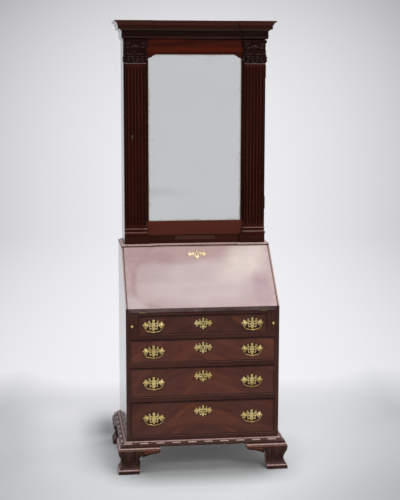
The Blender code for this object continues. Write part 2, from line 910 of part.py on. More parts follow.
def cornice():
    side = upper_half + gap
    block = shaft_middle - shaft_width / 2
    half_path = [(side, back), (side, upper_front), (block, upper_front), (block, door_face)]
    path = [(-x, y) for x, y in half_path] + list(reversed(half_path))
    profile = scaled(cornice_share, cornice_projection, cornice_height)
    item = moulding("cornice", path, profile, cornice_bottom)
    level = (cornice_bottom + bite, cornice_top - bite)
    core = (door_face - bite, case_front - gap)
    join(item, box("cornice_core", both(side + bite), core, level))
    for name, sign in sides_of(1):
        edges = sorted((sign * (block - bite), sign * (side + bite)))
        depth = (upper_front - bite, door_face)
        join(item, box(f"cornice_block_{name}", edges, depth, level))
    return finish(item, "upper_mahogany")


# Door


def opening_outline():
    # The upper corners step in with small cusps.
    half = [(0, opening_bottom), (opening_half, opening_bottom)]
    for across, up in corner_share:
        half.append((
            opening_half - across * corner_width,
            opening_top - corner_height + up * corner_height,
        ))
    half.append((0, opening_top))
    return mirrored(half)


def door_axis():
    return (upper_half + door_hinge_reach, door_back + door_joint / 2, door_bottom)


def door_frame():
    item = box(
        "door_frame", both(upper_half), (door_face, door_back), (door_bottom, door_top)
    )
    through = (door_face - overrun, door_back + overrun)
    cut(item, front_board("door_opening", [opening_outline()], *through))
    cut(item, box(
        "door_rebate", both(opening_half + mirror_lap),
        (door_face + mirror_setback, door_back + overrun),
        (opening_bottom - mirror_lap, opening_top + mirror_lap),
    ))
    return pivot(finish(item, "upper_mahogany"), door_axis())


def door_panel(name, start, thickness, kind):
    item = box(
        name, both(opening_half + mirror_lap - gap), (start, start + thickness),
        (opening_bottom - mirror_lap + gap, opening_top + mirror_lap - gap),
    )
    return pivot(finish(item, kind), door_axis())


def pilaster(name, side):
    middle = side * shaft_middle
    low, high = door_bottom, door_top - capital_drop
    seat = door_face - gap
    edges = (middle - shaft_width / 2, middle + shaft_width / 2)
    item = box(name, edges, (upper_front, seat), (low + bite, high - bite))
    path = [(edges[0], seat), (edges[0], upper_front), (edges[1], upper_front), (edges[1], seat)]
    base = scaled(pilaster_base_share, base_projection, base_height)
    base = [(-bite, 0)] + base + [(-bite, base_height)]
    join(item, moulding(name + "_base", path, base, low))
    bell = scaled(capital_share, capital_projection, capital_height)
    bell = [(-bite, 0)] + bell + [(-bite, capital_height)]
    join(item, moulding(name + "_capital", path, bell, high - capital_height))
    step = shaft_width / flute_count
    flute_low = low + base_height + flute_margin
    flute_high = high - capital_height - flute_margin
    y = upper_front - flute_radius + flute_depth
    for index in range(flute_count):
        x = edges[0] + step * (index + 0.5)
        cut(item, rod(
            f"{name}_flute_{index}", (x, y, flute_low), (x, y, flute_high),
            flute_radius, flute_sides,
        ))
    return pivot(finish(item, "upper_mahogany"), door_axis())


def door_hinge(name, share):
    x, y, _ = door_axis()
    z = door_bottom + door_height * share
    low, high = z - door_hinge_length / 2, z + door_hinge_length / 2
    item = box(
        name, (upper_half - door_hinge_leaf, x),
        (case_front - gap - leaf_thickness, case_front - gap), (low, high),
    )
    join(item, rod(name + "_barrel", (x, y, low - bite), (x, y, high + bite), barrel_radius, 12))
    return finish(item, "brass")


# Pigeonholes


def pigeonhole_case():
    half = desk_inner - gap
    low, high = bed_top + gap, fitment_top - gap
    rear = desk_back_front - gap
    item = box("pigeonhole_case", both(half), (fitment_front, rear), (low, high))
    depth = (fitment_front - overrun, rear - fitment_board)
    tray_top = low + (high - low) * fitment_tray_share
    spaces = []
    rows = (
        (fitment_tray_columns, low + fitment_board, tray_top),
        (fitment_columns, tray_top + fitment_board, high - fitment_board),
    )
    for columns, bottom, top in rows:
        step = (2 * half - fitment_board) / columns
        for index in range(columns):
            x = -half + fitment_board + index * step
            spaces += [(x, x + step - fitment_board), depth, (bottom, top)]
    cut(item, box("pigeonholes", *spaces))
    return finish(item, "inside_wood")


def build():
    global cutters, parts
    clear_scene()
    parts = new_collection("secretary_bookcase")
    cutters = new_collection("cutters")
    for side, sign in sides_of(1):
        desk_side(f"desk_side_{side}", sign)
        upper_side(f"upper_side_{side}", sign)
        pilaster(f"pilaster_{side}", sign)
        loper(f"loper_{side}", sign)
        foot(f"foot_front_{side}", sign, True)
        foot(f"foot_back_{side}", sign, False)
    for side, x in sides_of(desk_inner - fall_hinge_inset):
        fall_hinge(f"fall_hinge_{side}", x)
    desk_top()
    desk_bottom()
    desk_back()
    loper_frame()
    drawer_rail("drawer_rail_upper", drawer_2_bottom)
    drawer_rail("drawer_rail_lower", drawer_3_bottom)
    pigeonhole_case()
    fall_front()
    fall_escutcheon()
    for number in range(1, len(drawer_heights) + 1):
        drawer(number)
        dress_drawer(number)
    base_moulding()
    upper_base()
    upper_top()
    upper_back()
    candle_slide()
    shelf("shelf_lower", shelf_shares[0])
    shelf("shelf_upper", shelf_shares[1])
    cornice()
    door_frame()
    mirror_front = door_face + mirror_setback + gap
    door_panel("mirror", mirror_front, mirror_thickness, "mirror_glass")
    board_front = mirror_front + mirror_thickness + gap
    door_panel("mirror_backboard", board_front, backboard_thickness, "inside_wood")
    for name, share in zip(("door_hinge_lower", "door_hinge_upper"), door_hinge_shares):
        door_hinge(name, share)


build()
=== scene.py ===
# Secretary bookcase: finishes, carving, brasses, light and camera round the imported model.
# Metres, +Z up, the front faces -Y. Colours are written as tone(red, green, blue), 0 to 255.
import math

import bpy
import numpy as np
from mathutils import Matrix, Vector


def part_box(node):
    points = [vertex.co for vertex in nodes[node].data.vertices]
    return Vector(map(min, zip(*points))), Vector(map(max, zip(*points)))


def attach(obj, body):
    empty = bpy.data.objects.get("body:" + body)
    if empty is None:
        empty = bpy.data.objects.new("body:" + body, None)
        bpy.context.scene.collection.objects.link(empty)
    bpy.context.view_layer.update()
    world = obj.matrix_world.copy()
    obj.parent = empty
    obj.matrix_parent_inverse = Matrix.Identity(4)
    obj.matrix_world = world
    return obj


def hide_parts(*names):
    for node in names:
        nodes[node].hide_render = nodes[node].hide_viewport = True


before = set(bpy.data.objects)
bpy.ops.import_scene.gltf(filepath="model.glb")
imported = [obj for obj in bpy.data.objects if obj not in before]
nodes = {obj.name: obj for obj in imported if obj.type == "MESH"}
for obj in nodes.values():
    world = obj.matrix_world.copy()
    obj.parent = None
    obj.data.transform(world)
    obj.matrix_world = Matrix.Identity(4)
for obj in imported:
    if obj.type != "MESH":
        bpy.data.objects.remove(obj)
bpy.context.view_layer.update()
sides = (("left", -1), ("right", 1))
drawerNumbers = (1, 2, 3, 4)
mergeGap = 0.00001  # points nearer than this become one
tipRadius = 0.00005  # a turned piece ends in a face this small
# edges under so many degrees are shaded smooth: on round, carved and cut pieces
roundAngle, carvedAngle, cutAngle = 50, 60, 35
screenGamma = 2.2
print("frame loaded:", len(nodes), "nodes")


def tone(red, green, blue):
    # a colour as it is seen on a screen, made linear for the shaders
    return tuple((value / 255) ** screenGamma for value in (red, green, blue)) + (1.0,)


# Modelling helpers

def deselectAll():
    if bpy.context.mode != "OBJECT":
        bpy.ops.object.mode_set(mode="OBJECT")
    bpy.ops.object.select_all(action="DESELECT")


def makeActive(piece):
    deselectAll()
    piece.select_set(True)
    bpy.context.view_layer.objects.active = piece


def newObject(name, data):
    made = bpy.data.objects.new(name, data)
    bpy.context.scene.collection.objects.link(made)
    return made


def settle(piece, name):
    # place, turn and size go into the mesh, so that the object ends at the origin
    makeActive(piece)
    bpy.ops.object.transform_apply(location=True, rotation=True, scale=True)
    piece.name = piece.data.name = name
    return piece


def mendMesh(piece, merge=False):
    # turns the faces outwards, after merging doubles if asked
    makeActive(piece)
    bpy.ops.object.mode_set(mode="EDIT")
    bpy.ops.mesh.select_all(action="SELECT")
    if merge:
        bpy.ops.mesh.remove_doubles(threshold=mergeGap)
    bpy.ops.mesh.normals_make_consistent(inside=False)
    bpy.ops.object.mode_set(mode="OBJECT")


def applyModifier(piece, kind, **settings):
    makeActive(piece)
    modifier = piece.modifiers.new(kind.title(), kind)
    for key, value in settings.items():
        setattr(modifier, key, value)
    bpy.ops.object.modifier_apply(modifier=modifier.name)


def smoothByAngle(piece, degrees):
    makeActive(piece)
    bpy.ops.object.shade_smooth_by_angle(angle=math.radians(degrees))
    return piece


def copyPiece(piece, name, matrix):
    made = newObject(name, piece.data.copy())
    made.data.transform(matrix)
    if matrix.determinant() < 0:
        made.data.flip_normals()
    made.data.name = name
    return made


def placed(piece, name, place):
    return copyPiece(piece, name, Matrix.Translation(place))


def joinPieces(parts, name):
    makeActive(parts[0])
    for part in parts[1:]:
        part.select_set(True)
    if len(parts) > 1:
        bpy.ops.object.join()
    made = bpy.context.view_layer.objects.active
    made.name = made.data.name = name
    return made


def removePieces(*pieces):
    for piece in pieces:
        bpy.data.objects.remove(piece, do_unlink=True)


def turned(name, start, steps, corners=20):
    # a round piece that grows towards -Y from a disc: each step is how far on, and its radius
    deselectAll()
    bpy.ops.mesh.primitive_circle_add(
        vertices=corners, radius=start, fill_type="NGON", rotation=(math.pi / 2, 0, 0))
    piece = settle(bpy.context.object, name)
    bpy.ops.object.mode_set(mode="EDIT")
    bpy.ops.mesh.select_mode(type="FACE")
    bpy.ops.mesh.select_all(action="SELECT")
    reached, radius = 0.0, start
    for ahead, wide in steps:
        wide = max(wide, tipRadius)
        bpy.ops.mesh.extrude_region_move(
            TRANSFORM_OT_translate={"value": (0, reached - ahead, 0)})
        share = wide / radius
        bpy.ops.transform.resize(value=(share, 1, share), center_override=(0, -ahead, 0))
        reached, radius = ahead, wide
    mendMesh(piece)
    return smoothByAngle(piece, roundAngle)


def relief(name, columns, rows, shape, thickness):
    # a carved patch: a grid whose points are moved by shape(u, v), with a back behind it
    deselectAll()
    bpy.ops.mesh.primitive_grid_add(x_subdivisions=columns, y_subdivisions=rows, size=2)
    piece = bpy.context.object
    for vertex in piece.data.vertices:
        vertex.co = shape(vertex.co.x, (vertex.co.y + 1) / 2)
    settle(piece, name)
    applyModifier(piece, "SOLIDIFY", thickness=thickness, offset=-1.0)
    return smoothByAngle(piece, carvedAngle)


def addSpline(curve, points, closed, swells=None):
    spline = curve.splines.new("BEZIER")
    spline.bezier_points.add(len(points) - 1)
    spline.use_cyclic_u = closed
    for index, (knot, point) in enumerate(zip(spline.bezier_points, points)):
        knot.co = point
        knot.handle_left_type = knot.handle_right_type = "AUTO"
        knot.radius = swells[index] if swells else 1.0


def curveMesh(name, curve):
    makeActive(newObject(name, curve))
    bpy.ops.object.convert(target="MESH")
    return bpy.context.object


def bentRod(name, points, radius, swells, resolution):
    # a rod along a smooth line through the points
    curve = bpy.data.curves.new(name, "CURVE")
    curve.dimensions = "3D"
    curve.bevel_depth = radius
    curve.bevel_resolution = 2
    curve.resolution_u = resolution
    curve.use_fill_caps = True
    addSpline(curve, points, False, swells)
    return smoothByAngle(settle(curveMesh(name, curve), name), roundAngle)


def flatPlate(name, loops, thickness, edge):
    # a plate in X and Z cut to smooth outlines, its back at Y 0, facing -Y
    curve = bpy.data.curves.new(name, "CURVE")
    curve.dimensions = "2D"
    curve.fill_mode = "BOTH"
    curve.extrude = thickness / 2 - edge
    curve.bevel_depth = edge
    curve.bevel_resolution = 1
    curve.offset = -edge
    curve.resolution_u = 3
    for loop in loops:
        addSpline(curve, [(across, up, 0) for across, up in loop], True)
    piece = curveMesh(name, curve)
    piece.data.transform(Matrix.Translation((0, -thickness / 2, 0))
                         @ Matrix.Rotation(math.pi / 2, 4, "X"))
    settle(piece, name)
    mendMesh(piece, merge=True)
    return smoothByAngle(piece, cutAngle)


# Shader helpers: each works in the node tree of the sockets that it is given

def addNode(tree, kind, values=None, **settings):
    made = tree.nodes.new("ShaderNode" + kind)
    for key, value in settings.items():
        setattr(made, key, value)
    for key, value in (values or {}).items():
        made.inputs[key].default_value = value
    return made


def link(source, target):
    source.id_data.links.new(source, target)


def isSocket(value):
    return isinstance(value, bpy.types.NodeSocket)


def fill(socket, value):
    if isSocket(value):
        link(value, socket)
    else:
        socket.default_value = value


def treeOf(*values):
    return next(value.id_data for value in values if isSocket(value))


def calculate(operation, *values):
    made = addNode(treeOf(*values), "Math", operation=operation)
    for socket, value in zip(made.inputs, values):
        fill(socket, value)
    return made.outputs[0]


def plus(first, *others):
    for other in others:
        first = calculate("ADD", first, other)
    return first


def times(first, *others):
    for other in others:
        first = calculate("MULTIPLY", first, other)
    return first


def minus(first, second):
    return calculate("SUBTRACT", first, second)


def over(first, second):
    return calculate("DIVIDE", first, second)


def unsigned(value):
    return calculate("ABSOLUTE", value)


def mixColour(factor, first, second, blend="MIX"):
    made = addNode(treeOf(factor, first, second), "Mix", data_type="RGBA", blend_type=blend,
                   clamp_factor=True)
    # the node's sockets for colours are 6 and 7, and 2 on the way out
    for index, value in ((0, factor), (6, first), (7, second)):
        fill(made.inputs[index], value)
    return made.outputs[2]


def spread(value, low, high, lowTo=0.0, highTo=1.0):
    made = addNode(value.id_data, "MapRange", {1: low, 2: high, 3: lowTo, 4: highTo})
    link(value, made.inputs[0])
    return made.outputs[0]


def between(value, low, high, soft):
    return times(spread(value, low - soft, low + soft),
                 spread(value, high - soft, high + soft, 1.0, 0.0))


def noise(vector, scale, detail, roughness=0.55, distortion=0.0):
    made = addNode(vector.id_data, "TexNoise", {
        "Scale": scale, "Detail": detail, "Roughness": roughness, "Distortion": distortion})
    link(vector, made.inputs["Vector"])
    return made.outputs["Fac"]


def mapped(vector, scale=(1, 1, 1), turn=(0, 0, 0), place=(0, 0, 0)):
    made = addNode(vector.id_data, "Mapping", {
        "Scale": scale, "Rotation": turn, "Location": place})
    link(vector, made.inputs["Vector"])
    return made.outputs[0]


def splitPlace(where):
    made = addNode(where.id_data, "SeparateXYZ")
    link(where, made.inputs[0])
    return made.outputs


def joinPlace(x, y, z):
    made = addNode(x.id_data, "CombineXYZ")
    for socket, value in zip(made.inputs, (x, y, z)):
        link(value, socket)
    return made.outputs[0]


def inDirection(vector, direction):
    # how far the vector goes in a direction
    made = addNode(vector.id_data, "VectorMath", {1: tuple(direction)}, operation="DOT_PRODUCT")
    link(vector, made.inputs[0])
    return made.outputs["Value"]


def surfaceNormal(tree):
    return addNode(tree, "NewGeometry").outputs["Normal"]


def addBump(shader, height, strength, depth, normal=None):
    bump = addNode(shader.id_data, "Bump", {"Strength": strength, "Distance": depth})
    link(height, bump.inputs["Height"])
    if normal is not None:
        link(normal, bump.inputs["Normal"])
    link(bump.outputs[0], shader.inputs["Normal"])


def newGroup(name, inputs, outputs):
    tree = bpy.data.node_groups.new(name, "ShaderNodeTree")
    kinds = {"value": "NodeSocketFloat", "colour": "NodeSocketColor", "vector": "NodeSocketVector"}
    for label, kind, value in inputs:
        socket = tree.interface.new_socket(label, in_out="INPUT", socket_type=kinds[kind])
        if value is not None:
            socket.default_value = value
    for label, kind in outputs:
        tree.interface.new_socket(label, in_out="OUTPUT", socket_type=kinds[kind])
    return tree, tree.nodes.new("NodeGroupInput").outputs, tree.nodes.new("NodeGroupOutput").inputs


def useGroup(tree, group, values, vector=None):
    made = tree.nodes.new("ShaderNodeGroup")
    made.node_tree = group
    for key, value in values.items():
        made.inputs[key].default_value = value
    if vector is not None:
        link(vector, made.inputs["Vector"])
    return made.outputs


# Shared effects, each built once. A noise is scale, detail, roughness and distortion, and a
# range is from, to, and what those become.

grainLook = {
    "stretch": (1.1, 15, 15), "fineStretch": (14, 190, 190),
    "bands": (2.6, 3, 0.6, 0.5), "bandRange": (0.36, 0.66),
    "fibres": (24, 6, 0.7, 0.2), "fibreRange": (0.3, 0.7), "fibreHeight": 0.4,
    "pores": (5, 2, 0.5), "poreRange": (0.60, 0.74), "poreTint": (0.35, 0.3, 0.3, 1)}


def makeGrain(look):
    # long fibres along X, broad bands across them, and short dark pores
    tree, given, out = newGroup("woodGrain", [
        ("Vector", "vector", None), ("Pale", "colour", (1, 1, 1, 1)),
        ("Dark", "colour", (0, 0, 0, 1)), ("Bands", "value", 0.6), ("Pores", "value", 0.5)],
        [("Color", "colour"), ("Height", "value")])
    along = mapped(given["Vector"], look["stretch"])
    bands = spread(noise(along, *look["bands"]), *look["bandRange"])
    fibres = spread(noise(along, *look["fibres"]), *look["fibreRange"])
    fine = mapped(given["Vector"], look["fineStretch"])
    pores = spread(noise(fine, *look["pores"]), *look["poreRange"])
    share = plus(times(bands, given["Bands"]), times(fibres, minus(1.0, given["Bands"])))
    colour = mixColour(share, given["Dark"], given["Pale"])
    poreMask = times(pores, given["Pores"])
    link(mixColour(poreMask, colour, look["poreTint"], "MULTIPLY"), out["Color"])
    link(minus(times(fibres, look["fibreHeight"]), poreMask), out["Height"])
    return tree


flameLook = {
    "sway": (1.7, 2), "swayRange": (0.3, 0.7, -0.09, 0.09), "lean": math.radians(-30),
    "broad": (1.5, 3, 0.5, 0.9), "broadStretch": (1.8, 3, 4.5), "broadRange": (0.36, 0.66),
    "broadShare": 0.62,
    "ripple": (2.0, 5, 0.62, 0.6), "rippleStretch": (3, 14, 24), "rippleRange": (0.3, 0.7),
    "streak": (2.1, 2, 0.5, 0.4), "streakStretch": (1.2, 2, 5), "streakRange": (0.52, 0.72),
    "streakRipple": (0.2, 0.9, 0.25, 0.85),
    "pores": (4, 3, 0.6), "poreStretch": (10, 120, 120), "poreRange": (0.56, 0.72, 0.0, 0.45),
    "poreTint": (0.4, 0.33, 0.3, 1)}


def makeFlame(look):
    # the plumed figure of crotch veneer, opened like a book about X 0 and falling outwards
    tree, given, out = newGroup("flameFigure", [
        ("Vector", "vector", None), ("Pale", "colour", (1, 1, 1, 1)),
        ("Dark", "colour", (0, 0, 0, 1)), ("Streak", "colour", (1, 0.5, 0.3, 1))],
        [("Color", "colour"), ("Height", "value")])
    where = given["Vector"]
    x, y, z = splitPlace(where)
    sway = spread(noise(where, *look["sway"]), *look["swayRange"])
    slanted = mapped(joinPlace(unsigned(plus(x, sway)), y, z), turn=(0, look["lean"], 0))

    def figure(part):
        return spread(noise(mapped(slanted, look[part + "Stretch"]), *look[part]),
                      *look[part + "Range"])

    broad, ripple, streak = figure("broad"), figure("ripple"), figure("streak")
    share = plus(times(broad, look["broadShare"]), times(ripple, 1 - look["broadShare"]))
    colour = mixColour(share, given["Dark"], given["Pale"])
    streak = times(streak, spread(ripple, *look["streakRipple"]))
    colour = mixColour(streak, colour, given["Streak"])
    pores = spread(noise(mapped(where, look["poreStretch"]), *look["pores"]), *look["poreRange"])
    link(mixColour(pores, colour, look["poreTint"], "MULTIPLY"), out["Color"])
    link(minus(ripple, pores), out["Height"])
    return tree


edgeLook = {"edgeRange": (0.01, 0.12), "patches": (34, 4, 0.7), "patchRange": (0.38, 0.66)}


def makeEdgeWearAndHighlight(look):
    # where the edges are rubbed and take a painted highlight, and a normal that rounds them
    tree, given, out = newGroup("edgeWearAndHighlight", [
        ("Vector", "vector", None), ("Radius", "value", 0.001)],
        [("Mask", "value"), ("Normal", "vector")])
    rounded = addNode(tree, "Bevel", samples=4)
    link(given["Radius"], rounded.inputs["Radius"])
    compare = addNode(tree, "VectorMath", operation="DOT_PRODUCT")
    link(rounded.outputs[0], compare.inputs[0])
    link(surfaceNormal(tree), compare.inputs[1])
    edge = spread(minus(1.0, compare.outputs["Value"]), *look["edgeRange"])
    patchy = spread(noise(given["Vector"], *look["patches"]), *look["patchRange"])
    link(times(edge, patchy), out["Mask"])
    link(rounded.outputs[0], out["Normal"])
    return tree


recessRange = (0.35, 0.95, 1.0, 0.0)


def makeRecessShade(openness):
    # old wax and dust, with painted shade, where the surface folds in
    tree, given, out = newGroup("recessDirtAndShade", [("Reach", "value", 0.01)], [("Mask", "value")])
    hollow = addNode(tree, "AmbientOcclusion", samples=6)
    link(given["Reach"], hollow.inputs["Distance"])
    link(spread(hollow.outputs["AO"], *openness), out["Mask"])
    return tree


topHighlightLook = {"upRange": (0.25, 0.75), "patches": (26, 3, 0.6), "patchRange": (0.3, 0.6, 0.55, 1.0)}


def makeTopHighlightMask(look):
    # a painted highlight on what faces up
    tree, given, out = newGroup("topHighlightMask", [("Vector", "vector", None)], [("Mask", "value")])
    up = splitPlace(surfaceNormal(tree))[2]
    patchy = spread(noise(given["Vector"], *look["patches"]), *look["patchRange"])
    link(times(spread(up, *look["upRange"]), patchy), out["Mask"])
    return tree


polishLook = {
    "cloud": (7, 4, 0.6, 0.4), "cloudShare": 0.65, "smear": (3, 3, 0.6),
    "smearStretch": (3, 40, 18), "range": (0.36, 0.64)}


def makePolish(look):
    # slow changes of shine over a polished surface, with a few rubbed streaks
    tree, given, out = newGroup("polishWear", [
        ("Vector", "vector", None), ("Low", "value", 0.25), ("High", "value", 0.45)],
        [("Roughness", "value"), ("Mask", "value")])
    cloud = noise(given["Vector"], *look["cloud"])
    smear = noise(mapped(given["Vector"], look["smearStretch"]), *look["smear"])
    both = plus(times(cloud, look["cloudShare"]), times(smear, 1 - look["cloudShare"]))
    mask = spread(both, *look["range"])
    link(plus(given["Low"], times(mask, minus(given["High"], given["Low"]))), out["Roughness"])
    link(mask, out["Mask"])
    return tree


grainGroup = makeGrain(grainLook)
flameGroup = makeFlame(flameLook)
edgeGroup = makeEdgeWearAndHighlight(edgeLook)
recessShadeGroup = makeRecessShade(recessRange)
topHighlightGroup = makeTopHighlightMask(topHighlightLook)
polishGroup = makePolish(polishLook)
print("shader groups built")


# Finishes

grainTurns = {  # turns the grain, which runs along X, to lie along an axis
    "X": (0, 0, 0), "Y": (0, 0, math.pi / 2), "Z": (0, math.pi / 2, 0)}
woodSurface = {
    "levelSoft": 0.0007, "fleckRange": (0.38, 0.50, 0.55, 1.0), "sideRange": (0.4, 0.8),
    "bumpDepth": 0.0006}


def newMaterial(name):
    material = bpy.data.materials.new(name)
    material.use_nodes = True
    tree = material.node_tree
    return material, tree.nodes["Principled BSDF"], addNode(tree, "TexCoord").outputs["Object"]


def grainOf(where, values, axis="X"):
    # the grain in a finish's own colours, its fibres along an axis
    return useGroup(where.id_data, grainGroup, {
        "Pale": values["pale"], "Dark": values["dark"], "Bands": values["bands"],
        "Pores": values["pores"]}, mapped(where, turn=grainTurns[axis]))


def finishWood(shader, where, colour, height, values):
    # wear with painted edge highlights, painted highlight on what faces up, old wax with painted
    # shade in the hollows, and polish over any wood colour
    tree = shader.id_data
    edge = useGroup(tree, edgeGroup, {"Radius": values["edgeRadius"]}, where)
    dirtAndShade = useGroup(tree, recessShadeGroup, {"Reach": values["dirtAndShadeReach"]})
    low, high = values["roughness"]
    polish = useGroup(tree, polishGroup, {"Low": low, "High": high}, where)
    colour = mixColour(spread(polish["Mask"], 0, 1, 0.0, values["fade"]), colour,
                       values["fadeColour"])
    for low, high, amount, paint in values.get("heights", ()):
        # a stretch of the height that is paler or darker: mostly painted highlight and painted
        # shade, some of it handling and dust
        level = between(splitPlace(where)[2], low, high, woodSurface["levelSoft"])
        if "flecks" in values:  # broken up, as light on carving is
            level = times(level, spread(noise(where, values["flecks"], 2),
                                        *woodSurface["fleckRange"]))
        colour = mixColour(times(level, amount), colour, paint)
    # worn edges, paler, with a painted highlight along them
    colour = mixColour(times(edge["Mask"], values["wearAndHighlight"]), colour, values["wearAndHighlightColour"])
    # painted highlight on what faces up
    if values["topHighlight"]:
        toplit = useGroup(tree, topHighlightGroup, {}, where)["Mask"]
        colour = mixColour(times(toplit, values["topHighlight"]), colour, values["topHighlightColour"])
    # old wax and dust, with painted shade, darken the hollows
    colour = mixColour(times(dirtAndShade["Mask"], values["dirtAndShade"]), colour, values["dirtAndShadeColour"])
    link(colour, shader.inputs["Base Color"])
    link(polish["Roughness"], shader.inputs["Roughness"])
    addBump(shader, height, values["bump"], woodSurface["bumpDepth"], edge["Normal"])
    for socket, key in (("Specular IOR Level", "specular"), ("Specular Tint", "tint"),
                        ("Coat Weight", "coat"), ("Coat Roughness", "coatRoughness"),
                        ("Coat IOR", "coatIor")):
        shader.inputs[socket].default_value = values[key]
    if "sideCoat" in values:  # the returns at the sides have kept their full polish
        aside = unsigned(splitPlace(surfaceNormal(tree))[0])
        link(spread(aside, *woodSurface["sideRange"], values["coat"], values["sideCoat"]),
             shader.inputs["Coat Weight"])


def makeWood(name, values, axis="X", paint=None):
    # paint(where, colour, values), where given, adds what only this piece shows
    material, shader, where = newMaterial(name)
    grain = grainOf(where, values, axis)
    colour = paint(where, grain["Color"], values) if paint else grain["Color"]
    finishWood(shader, where, colour, grain["Height"], values)
    return material


upperWood = {
    "pale": tone(54, 20, 12), "dark": tone(28, 8, 5), "bands": 0.55, "pores": 0.6,
    "roughness": (0.24, 0.38), "coat": 0.04, "coatRoughness": 0.12, "coatIor": 1.5,
    "specular": 0.16, "tint": (1.0, 0.5, 0.4, 1.0),
    "fade": 0.10, "fadeColour": tone(80, 42, 34), "wearAndHighlight": 0.45, "wearAndHighlightColour": tone(104, 62, 52),
    "topHighlight": 0.75, "topHighlightColour": tone(128, 92, 84),
    "dirtAndShade": 0.8, "dirtAndShadeColour": tone(12, 6, 4), "dirtAndShadeReach": 0.010, "edgeRadius": 0.0010,
    "bump": 0.25}
# a finish's heights are: from, to, how strong, colour
# a painted highlight on the bead under the capitals' leaves
carvedWood = dict(upperWood, pale=tone(34, 13, 10), dark=tone(14, 5, 4), wearAndHighlight=0.85,
                  wearAndHighlightColour=tone(128, 98, 90), topHighlight=0.95, topHighlightColour=tone(176, 150, 142), dirtAndShade=1.0,
                  dirtAndShadeReach=0.009, edgeRadius=0.0005,
                  heights=((1.9098, 1.9142, 0.9, tone(122, 100, 98)),))
# the cornice's heights: painted highlight on the mouldings that face up, painted shade on the
# bands under them
corniceWood = dict(upperWood, edgeRadius=0.0012, sideCoat=1.0, coatIor=1.35, coatRoughness=0.1,
                   wearAndHighlight=0.6, wearAndHighlightColour=tone(104, 74, 70),
                   heights=((2.0285, 2.0305, 0.8, tone(16, 6, 5)),
                            (2.0308, 2.0388, 0.6, tone(74, 48, 48)),
                            (2.0390, 2.0680, 0.97, tone(14, 3, 5)),
                            (2.0690, 2.0738, 0.7, tone(94, 74, 70)),
                            (2.0742, 2.0925, 0.5, tone(56, 34, 20)),
                            (2.0930, 2.1150, 0.65, tone(92, 52, 46))))
plinthWood = dict(upperWood, pale=tone(66, 32, 25), dark=tone(42, 19, 15))
slideWood = dict(upperWood, pale=tone(88, 57, 51), dark=tone(62, 40, 36))
upperSideWood = dict(upperWood, coat=1.0, coatRoughness=0.08, coatIor=1.3, specular=0.12,
                     pale=tone(68, 30, 20), dark=tone(40, 16, 10))
pilasterWood = dict(upperWood, sideCoat=0.8, coatIor=1.3, pale=tone(78, 30, 19),
                    dark=tone(48, 16, 10), dirtAndShade=1.0, dirtAndShadeReach=0.012, topHighlight=0.95,
                    topHighlightColour=tone(158, 128, 120), fluteDepth=(0.0686, 0.0704),
                    fluteReach=(1.1195, 1.9125, 0.001), fluteColour=tone(20, 6, 4),
                    heights=((1.9160, 2.0240, 0.88, tone(24, 9, 8)),))
doorWood = dict(upperWood, sideCoat=0.8, coatIor=1.3, pale=tone(80, 27, 11),
                dark=tone(44, 12, 5), bands=0.7, pores=0.5, stiles=upperWood,
                railReach=(-0.2255, 0.2255, 0.0004),
                heights=((1.0850, 1.1530, 0.45, tone(114, 66, 54)),
                         (1.9680, 1.9880, 0.25, tone(112, 44, 14))))
deskWood = {
    "pale": tone(84, 48, 40), "dark": tone(52, 27, 22), "bands": 0.6, "pores": 0.5,
    "roughness": (0.26, 0.42), "coat": 0.12, "coatRoughness": 0.14, "coatIor": 1.5,
    "specular": 0.24, "tint": (1.0, 0.75, 0.68, 1.0),
    "fade": 0.2, "fadeColour": tone(102, 66, 58), "wearAndHighlight": 0.5, "wearAndHighlightColour": tone(142, 98, 88),
    "topHighlight": 0.85, "topHighlightColour": tone(184, 148, 140),
    "dirtAndShade": 0.8, "dirtAndShadeColour": tone(22, 11, 9), "dirtAndShadeReach": 0.012, "edgeRadius": 0.0012,
    "bump": 0.25}
deskCarvedWood = dict(deskWood, pale=tone(92, 44, 36), dark=tone(52, 22, 18), wearAndHighlight=0.7,
                      wearAndHighlightColour=tone(150, 96, 84), topHighlight=0.5, topHighlightColour=tone(180, 130, 120),
                      dirtAndShade=1.0, dirtAndShadeReach=0.006, edgeRadius=0.0006)
# the carved bars: rubbed pale, with a painted highlight
dashWood = dict(deskWood, pale=tone(224, 190, 182), dark=tone(188, 150, 142), fade=0.4,
                fadeColour=tone(222, 194, 188), wearAndHighlight=0.6, wearAndHighlightColour=tone(214, 186, 180),
                topHighlightColour=tone(222, 196, 190), dirtAndShade=0.9, dirtAndShadeReach=0.004, edgeRadius=0.0005)
# a painted highlight along the top of the base moulding, darker bands below it
mouldingWood = dict(deskWood, pale=tone(92, 50, 42), dark=tone(54, 27, 22), wearAndHighlight=0.25,
                    wearAndHighlightColour=tone(150, 104, 96), topHighlight=0.12, topHighlightColour=tone(186, 140, 132),
                    edgeRadius=0.0010, flecks=60, heights=(
                        (0.1283, 0.1330, 0.75, tone(44, 22, 19)),
                        (0.1332, 0.1440, 0.9, tone(46, 21, 18)),
                        (0.1458, 0.1502, 0.95, tone(238, 196, 190))))
# a painted highlight on the waist moulding, painted shade in the line under it
deskTopWood = dict(deskWood, topHighlight=1.0, topHighlightColour=tone(214, 178, 172), wearAndHighlight=0.9,
                   wearAndHighlightColour=tone(216, 184, 178),
                   heights=((1.0310, 1.0339, 0.9, tone(56, 28, 25)),
                            (1.0345, 1.0440, 0.85, tone(172, 134, 126))))
# painted shade along the top of the frame, under the fall
frameWood = dict(deskWood, topHighlight=0.0, heights=((0.7610, 0.7670, 0.8, tone(34, 17, 14)),))
deskSideWood = dict(deskWood, coat=1.0, coatRoughness=0.08, coatIor=1.3, specular=0.12, topHighlight=0.0,
                    slantRange=(0.9, 0.97), waxAndShadeRange=(0.3564, 0.3576),
                    waxAndShadeColour=tone(58, 30, 26), edgeColour=tone(190, 150, 144))
